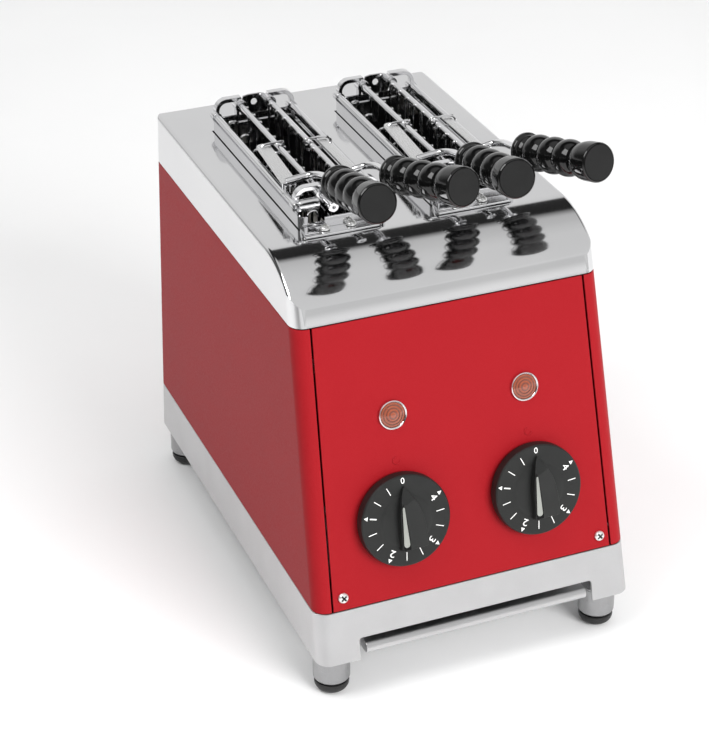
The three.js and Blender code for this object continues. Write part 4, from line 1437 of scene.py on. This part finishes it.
# ---- tongs ---------------------------------------------------------------------------------------
@dataclass
class Grip:
    """Ribbed handle: a flange, three bulges and a flared end with a flat matt disc."""

    side: Hand
    hand: Hand
    length: float = 72.0
    radius: float = 12.0
    pitch: float = 14.5
    bulges: int = 3

    def axis(self) -> tuple[Vector, Vector]:
        """Rear end and direction of the handle.

        Returns:
            The middle of the rear end in metres, and a unit vector.
        """
        start, end = (-6.5, -10) if self.hand is Hand.LEFT else (29.5, 44)
        x = self.side.value * SLOT_OFFSET
        run = self.length * math.cos(math.radians(self.pitch))
        across = end - start
        along = math.sqrt(run * run - across * across)
        rise = self.length * math.sin(math.radians(self.pitch))
        return PLACE.at(x + start, -214.5, 31), Vector((across, -along, rise)).normalized()

    def profile(self) -> list[Pair]:
        """Radius and height pairs from the rear end to the front end.

        Returns:
            The pairs in millimetres.
        """
        span, first = 14.6, 7.6
        waves = [(9.0 + 2.4 * abs(math.sin(math.pi * i / 12)) ** 0.8, first + span * i / 12)
                 for i in range(self.bulges * 12 + 1)]
        last, r = first + span * self.bulges, self.radius
        return [(0, 0), (10.2, 0), (11.0, 0.25), (11.5, 0.9), (11.6, 2.6), (11.3, 3.5), (10.6, 4.1),
                (10.2, 4.4), (10.3, 5.2),
                (10.0, 6.2), (9.4, 7.1), *waves, (9.3, last + 1.4), (10.0, last + 3.6), (11.0, last + 6.2),
                (11.7, last + 9.0), (r, last + 12.0), (r, self.length - 1.5), (r - 0.3, self.length - 0.7),
                (r - 0.9, self.length - 0.2)]

    def build(self) -> None:
        """Turned handle with its end disc."""
        start, direction = self.axis()
        place = tilt(direction, start)
        body = f"tong_{self.side.word}_jaw_{self.hand.word}"
        node = f"tong_{self.side.word}_grip_{self.hand.word}"
        shaft = dress(turned("shaft", [*self.profile(), (10.8, self.length - 0.6), (0, self.length - 0.6)],
                             place, 56),
                      GLOSS_BLACK, 40)
        disc = turned("disc", [(0, self.length - 0.55), (10.7, self.length - 0.55),
                               (10.6, self.length - 0.12), (0, self.length)],
                      place, 56)
        dress(disc, MATT_BLACK, 30)
        seat(together(f"{node}_moulded", shaft, disc), body, GLOSS_BLACK, node)


@dataclass
class Tong:
    """A lift-out tong: end frames and rails, and two sprung jaws with their grids, arms and grips."""

    side: Hand
    rod: float = 10.2
    rod_rise: float = 17.0
    rod_radius: float = 2.0
    rail: float = 26.4
    rail_rise: float = 11.0
    ends: Pair = (46.0, 193.0)
    wires: int = 11
    drop: float = 128.0

    @property
    def x(self) -> float:
        """Middle of the tong, in millimetres."""
        return self.side.value * SLOT_OFFSET

    def end_frame(self, y: float, front: bool) -> list[bpy.types.Object]:
        """One end: a web with a hole, a bow on each side, hubs for the rods and bosses for the rails.

        Args:
            y: distance from the rear face, in millimetres.
            front: true at the front end.

        Returns:
            The pieces of this end.
        """
        deep = 5.0
        up = upright(PLACE.rear + (deep / 2 - y) * MM, PLACE.top)
        x = self.x
        web = plate("web", [(x - 9, 9.6), (x + 9, 9.6), (x + 11, 14), (x + 7.5, 22.2), (x + 4, 23.0),
                            (x - 4, 23.0),
                            (x - 7.5, 22.2), (x - 11, 14)], 1.4, Matrix.Translation((0, -1.4 * MM, 0)) @ up)
        carve(web, round_bar("web_hole", PLACE.at(x, -y - 8, 17.5), PLACE.at(x, -y + 8, 17.5), 2.1, 0, 28))
        soften(web, 0.3, 2, 40)
        parts = [web]
        sweep = [math.radians(12 * i) for i in range(1, 8)]
        for hand in Hand:
            h = hand.value
            round_end = [(x + h * (19.6 + 8.0 * math.sin(a)), 14.9 + 8.0 * math.cos(a)) for a in sweep]
            outer = [(x + h * 9.5, 22.9), (x + h * 19.5, 22.9), *round_end, (x + h * 27.7, 9.4)]
            inner = [(px - h * 2.7, pz) if i > 5 else (px, pz - 2.7) for i, (px, pz) in enumerate(outer)]
            inner[2:9] = [(x + h * (19.6 + 5.3 * math.sin(a)), 14.9 + 5.3 * math.cos(a)) for a in sweep]
            outline = [*outer, *reversed(inner)]
            strap = plate("strap", outline if h > 0 else list(reversed(outline)), deep, up, 0.25)
            foot = block("foot", PLACE.at(x + h * 12 - 1.0, -y - deep / 2, 9.3),
                         PLACE.at(x + h * 12 + 1.0, -y + deep / 2, 22.4), 0.3)
            left, right = sorted((x + h * 11, x + h * 27.6))
            sill = block("sill", PLACE.at(left, -y - 1, 9.2), PLACE.at(right, -y + 1, 10.4), 0.3)
            rod_x, rise = x + h * self.rod, self.rod_rise
            hub = round_bar("hub", PLACE.at(rod_x, -y - 4.6, rise), PLACE.at(rod_x, -y + 3.2, rise), 4.1, 0.5,
                            32)
            carve(hub, round_bar("hub_bore", PLACE.at(rod_x, -y - 9, rise), PLACE.at(rod_x, -y + 9, rise),
                                 self.rod_radius + 0.25, 0, 28))
            boss_spot = PLACE.at(x + h * self.rail, -y + 2.2 if front else -y + 3.4, self.rail_rise)
            boss = turned("boss", [(1.5, 0), (3.1, 0), (3.3, 0.3), (3.3, 5.7), (3.1, 6), (1.5, 6), (1.5, 0)],
                          tilt(Vector((0, -1, 0)), boss_spot), 28)
            parts += [strap, foot, sill, hub, boss]
        return parts

    def frame(self) -> None:
        """Both ends and the two long rails."""
        parts = self.end_frame(self.ends[0], False) + self.end_frame(self.ends[1], True)
        for hand in Hand:
            x = self.x + hand.value * self.rail
            parts.append(round_bar("rail", PLACE.at(x, -self.ends[0] - 1, self.rail_rise),
                                   PLACE.at(x, -self.ends[1] + 1, self.rail_rise), 2.2, 0, 28))
        tab = plate("front_tab", [(self.x - 9, 9.6), (self.x - 3, 9.6), (self.x - 4.4, 16),
                                  (self.x - 7.6, 16)], 1.0,
                    upright(PLACE.rear - (self.ends[1] + 4.0) * MM, PLACE.top), 0.25)
        barrel = turned("barrel", [(1.5, 0), (3.6, 0), (3.9, 0.4), (3.9, 12.6), (3.6, 13.0), (1.5, 13.0),
                                   (1.5, 0)],
                        tilt(Vector((1, 0, 0)), PLACE.at(self.x - 26.5, -self.ends[1] - 5.4, 12.8)), 32)
        parts += [tab, barrel]
        name = f"tong_frame_{self.side.word}"
        seat(dress(together(f"{name}_formed", *parts), CHROME, 35), f"tong_{self.side.word}", CHROME, name)

    def grid(self, hand: Hand) -> None:
        """A rod with its bolt head and a row of hooked wires on two bars.

        Args:
            hand: which jaw.
        """
        h = hand.value
        rod_x, wire_x = self.x + h * self.rod, self.x + h * (self.rod - 3.0)
        rise = self.rod_rise
        parts = [round_bar("rod", PLACE.at(rod_x, -42, rise), PLACE.at(rod_x, -214.5, rise), self.rod_radius,
                           0.3, 28),
                 turned("head", [(1.2, 0), (2.9, 0), (3.3, 0.5), (3.3, 2.6), (2.9, 3.1), (1.2, 3.1),
                                 (1.2, 0)],
                        tilt(Vector((0, -1, 0)), PLACE.at(rod_x, -213.3, rise)), 28)]
        first, last = -self.ends[0] - 9, -self.ends[1] + 9
        for drop in (self.drop, self.drop * 0.52):
            parts.append(round_bar("bar", PLACE.at(wire_x, first + 4, rise - drop),
                                   PLACE.at(wire_x, last - 4, rise - drop), 1.4, 0.3, 12))
        hook = bent([PLACE.at(wire_x, first, rise - self.drop), PLACE.at(wire_x, first, rise + 1.1),
                     PLACE.at(rod_x, first, rise + 1.1)], 1.8, 4)
        model = wire("wire_model", hook, 0.8)
        pitch = (last - first) / (self.wires - 1) * MM
        parts += [twin(model, "wire", Matrix.Translation((0, pitch * i, 0))) for i in range(1, self.wires)]
        parts.append(model)
        name = f"tong_{self.side.word}_grid_{hand.word}"
        seat(dress(together(f"{name}_wired", *parts), CHROME, 35), self.jaw(hand), CHROME, name)

    def jaw(self, hand: Hand) -> str:
        """The body that a jaw's pieces ride on."""
        return f"tong_{self.side.word}_jaw_{hand.word}"

    def arm(self, hand: Hand) -> None:
        """Flat strip beside the rod, a folded cross piece, a tang into the grip, and the spring clip.

        Args:
            hand: which jaw.
        """
        h, x = hand.value, self.x
        start, direction = Grip(self.side, hand).axis()
        tip_x, tip_half, outer, inner = (20.2, 4.6, 28.6, 18.8) if hand is Hand.LEFT else (17.6, 2.9, 21.0,
                                                                                           15.2)
        tip = [(x + h * tip_x + px * h, -121 + py) for px, py in bow((0, 0), tip_half, 0, 180, 10)]
        outline = [(x + h * outer, -177), *tip, (x + h * inner, -177)]
        strip = plate("strip", outline if h > 0 else outline[::-1], 1.5,
                      Matrix.Translation(PLACE.at(0, 0, 17.6)), 0.4)
        reach = start.x / MM - x
        hang = sorted((h * outer, h * (outer - 10)))
        cross = block("cross", PLACE.at(x + hang[0], -177.4, 11.4), PLACE.at(x + hang[1], -176.0, 19.1), 0.5,
                      3)
        ribs = [block("rib", PLACE.at(left, -178.3, 12.4), PLACE.at(left + 1.2, -177, 17.2), 0.3)
                for left in (x + hang[0] + 1.4 + i * 3.2 for i in range(3))]
        turn_in = 3 if reach > h * outer else -3
        route = [PLACE.at(x + h * (outer - 3), -176, 19.4), PLACE.at(x + reach - turn_in, -176.6, 21.4),
                 PLACE.at(x + reach, -186, 24.6), start - direction * 0.005, start + direction * 0.004]
        tang = wire("tang", bent(route, 7, 6), 2.3, ring=6)
        collar = turned("collar", [(2.0, -4.6), (4.0, -4.6), (4.4, -4.2), (4.4, -0.5), (4.0, -0.05),
                                   (2.0, -0.05), (2.0, -4.6)],
                        tilt(direction, start), 32)
        rod_x = x + h * self.rod
        y = -121 if hand is Hand.LEFT else -124
        far = rod_x + h * (10.5 if hand is Hand.LEFT else 12.0)
        near = rod_x - h * 3.4
        loop = bent([PLACE.at(near, y + 0.6, 17), PLACE.at(near, y + 0.6, 20.4), PLACE.at(far, y - 0.4, 20.2),
                     PLACE.at(far + h * 2, y - 0.6, 17.2),
                     PLACE.at(far, y - 1.8, 14.6), PLACE.at(near, y - 1.8, 13.8),
                     PLACE.at(near, y - 1.6, 17.6)], 3, 4)
        clip = wire("clip", loop, 0.85)
        name = f"tong_{self.side.word}_arm_{hand.word}"
        dress(clip, CHROME, 35)
        bright = dress(together("bright", tang, collar, clip, cross, *ribs), CHROME, 35)
        dress(strip, WORKED, 35)
        seat(together(f"{name}_formed", strip, bright), self.jaw(hand), WORKED, name)

    def build(self) -> None:
        """The whole tong."""
        self.frame()
        for hand in Hand:
            self.grid(hand)
            self.arm(hand)
            Grip(self.side, hand).build()


@dataclass
class Guard:
    """Upright guard wires with hooked tops beside a tong, on two rails."""

    side: Hand
    hand: Hand
    wires: int = 7

    def build(self) -> None:
        """One wire modelled, copied along the slot, with its rails."""
        x, h = self.side.value * SLOT_OFFSET, self.hand.value
        low = (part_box(f"guard_{self.side.word}_{self.hand.word}")[0].z - PLACE.top) / MM
        first, last = -52.0, -199.0
        path = bent([PLACE.at(x + h * 25.4, first, low), PLACE.at(x + h * 24.0, first, -60),
                     PLACE.at(x + h * 20.6, first, 8.0),
                     PLACE.at(x + h * 15.4, first, 8.6), PLACE.at(x + h * 14.4, first, 5.4)], 2.6, 4)
        model = wire("guard_model", path, 0.8)
        pitch = (last - first) / (self.wires - 1) * MM
        parts = [twin(model, "guard_wire", Matrix.Translation((0, pitch * i, 0))) for i in range(1,
                                                                                                 self.wires)]
        parts.append(model)
        for across, rise in ((25.9, low + 8), (25.6, -40.0)):
            parts.append(round_bar("guard_rail", PLACE.at(x + h * across, -31, rise),
                                   PLACE.at(x + h * across, -218, rise), 1.2, 0.3, 12))
        name = f"guard_{self.side.word}_{self.hand.word}"
        seat(dress(together(f"{name}_wired", *parts), CHROME, 35), "body", CHROME, name)


# ---- inner pieces that keep their solids ---------------------------------------------------------
def dress_inner_works() -> None:
    """Gives the carried-over solids their finishes."""
    # The chamber's near-black sheet is painted shade for the dark inside of the slots.
    finishes = {"chamber": SLOT_SHADE_SHEET, "base_pan": ZINC, "timer": ZINC, "heater": QUARTZ, "terminal": MICA,
                "cable_gland": NYLON}
    for name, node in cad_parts.items():
        for start, finish in finishes.items():
            if name.startswith(start):
                node.data.materials.clear()
                node.data.materials.append(finish.material())
                LOG.info("%s keeps its solid", name)


# ---- studio --------------------------------------------------------------------------------------
@dataclass
class Studio:
    """Pale floor, soft lights, a graded sky and the camera."""

    azimuth: float = 21.833
    elevation: float = 30.028
    roll: float = -0.397
    lens: float = 103.594
    eye: Triple = (-0.4732, -1.1387, 0.8407)

    def floor(self) -> None:
        """A wide pale floor with a fine grain."""
        bpy.ops.object.select_all(action="DESELECT")
        bpy.ops.mesh.primitive_plane_add(size=24, location=(0, 0, 0))
        ground = christen("studio_floor")
        with editing(ground, Kind.FACE):
            bpy.ops.mesh.select_all(action="SELECT")
            bpy.ops.mesh.subdivide(number_cuts=3)
        dress(ground, FLOOR)

    def softbox(self, name: str, spot: Triple, size: float, power: float, gloss: bool) -> None:
        """A square soft light aimed at the toaster.

        Args:
            name: the light's name.
            spot: where it hangs, in metres.
            size: side of the square.
            power: in watts.
            gloss: whether bright metal mirrors it.
        """
        data = bpy.data.lights.new(name, "AREA")
        data.size, data.energy = size, power
        light = bpy.data.objects.new(name, data)
        light.location = spot
        light.rotation_euler = (Vector((0, 0, 0.15)) - Vector(spot)).to_track_quat("-Z", "Y").to_euler()
        light.visible_glossy = gloss
        bpy.context.scene.collection.objects.link(light)

    def sky(self) -> None:
        """A bright horizon, a dark strip above it behind the toaster, and a grey dome."""
        world = bpy.data.worlds.new("studio_sky")
        bpy.context.scene.world = world
        world.use_nodes = True
        nodes, links = world.node_tree.nodes, world.node_tree.links
        parts = nodes.new("ShaderNodeSeparateXYZ")
        links.new(nodes.new("ShaderNodeTexCoord").outputs["Generated"], parts.inputs[0])
        back = self.ramp(world, parts, ((0.0, 0.92), (0.45, 0.76), (0.56, 0.74), (0.60, 0.03), (0.80, 0.02),
                                        (0.86, 0.55),
                                        (0.94, 0.66), (1.0, 0.70)))
        front = self.ramp(world, parts, ((0.0, 0.95), (0.03, 0.92), (0.09, 0.66), (0.5, 0.78), (1.0, 0.70)))
        left = self.ramp(world, parts, ((0.0, 0.90), (0.04, 0.40), (0.10, 0.10), (0.8, 0.10), (1.0, 0.60)))
        ahead = self.mix(world, self.slope(world, parts.outputs["Y"], -0.1, 0.15), front, back)
        whole = self.mix(world, self.slope(world, parts.outputs["X"], -0.64, -0.34), left, ahead)
        links.new(whole, nodes["Background"].inputs["Color"])
        nodes["Background"].inputs["Strength"].default_value = 1.0

    @staticmethod
    def ramp(world: bpy.types.World, parts: bpy.types.Node, stops: Sequence[Pair]) -> bpy.types.NodeSocket:
        """Greys by height: 0 at the horizon and below, 1 overhead.

        Args:
            world: the sky under construction.
            parts: the direction, split into X, Y and Z.
            stops: place and grey pairs.

        Returns:
            The grey for each direction.
        """
        node = world.node_tree.nodes.new("ShaderNodeValToRGB")
        while len(node.color_ramp.elements) < len(stops):
            node.color_ramp.elements.new(0.5)
        for element, (place, value) in zip(node.color_ramp.elements, stops):
            element.position, element.color = place, (value, value, value, 1)
        world.node_tree.links.new(parts.outputs["Z"], node.inputs["Fac"])
        return node.outputs["Color"]

    @staticmethod
    def slope(world: bpy.types.World, source: bpy.types.NodeSocket, start: float,
              end: float) -> bpy.types.NodeSocket:
        """A value rising from 0 to 1 between two values of the source.

        Args:
            world: the sky under construction.
            source: the value.
            start: where the result is 0.
            end: where it is 1.

        Returns:
            The result.
        """
        node = world.node_tree.nodes.new("ShaderNodeMapRange")
        node.inputs["From Min"].default_value, node.inputs["From Max"].default_value = start, end
        world.node_tree.links.new(source, node.inputs["Value"])
        return node.outputs["Result"]

    @staticmethod
    def mix(world: bpy.types.World, factor: bpy.types.NodeSocket, first: bpy.types.NodeSocket,
            second: bpy.types.NodeSocket) -> bpy.types.NodeSocket:
        """Blends two sockets' colours by a factor.

        Args:
            world: the sky under construction.
            factor: 0 for the first, 1 for the second.
            first: a colour.
            second: a colour.

        Returns:
            The blended colour.
        """
        node = world.node_tree.nodes.new("ShaderNodeMix")
        node.data_type = "RGBA"
        for key, socket in (("Factor", factor), ("A", first), ("B", second)):
            world.node_tree.links.new(socket, node.inputs[key])
        return node.outputs["Result"]

    def camera(self) -> None:
        """The camera, level with the given angles and roll."""
        a, e = math.radians(self.azimuth), math.radians(self.elevation)
        forward = Vector((math.sin(a) * math.cos(e), math.cos(a) * math.cos(e), -math.sin(e)))
        data = bpy.data.cameras.new("studio_camera")
        data.lens, data.sensor_width = self.lens, 36
        camera = bpy.data.objects.new("studio_camera", data)
        aim = forward.to_track_quat("-Z", "Y").to_matrix().to_4x4()
        turn = aim @ Matrix.Rotation(math.radians(self.roll), 4, "Z")
        camera.matrix_world = Matrix.Translation(self.eye) @ turn
        bpy.context.scene.collection.objects.link(camera)
        bpy.context.scene.camera = camera

    def build(self) -> None:
        """Sets the whole studio."""
        bpy.context.scene.view_settings.view_transform = "Standard"
        self.camera()
        self.floor()
        self.sky()
        self.softbox("overhead", (0.5, -0.2, 3.2), 2.6, 22, False)
        self.softbox("key", (0.9, -2.7, 1.4), 1.6, 98, False)
        self.softbox("window", (-1.3, -0.2, 2.0), 1.2, 24, True)


# ---- assembly ------------------------------------------------------------------------------------
def main() -> None:
    """Builds every sub-assembly in order."""
    logging.basicConfig(level=logging.INFO, format="%(message)s")
    Studio().build()
    base = Base()
    base.frame()
    base.feet()
    CrumbTray().build()
    body = Body()
    body.shell()
    body.panel()
    Cover().build()
    panel_screws()
    for hand in Hand:
        SlotFrame(hand).build()
        Dial(hand).build()
        Lamp(hand).build()
        Tong(hand).build()
        for other in Hand:
            Guard(hand, other).build()
    dress_inner_works()


if __name__ == "__main__":
    main()
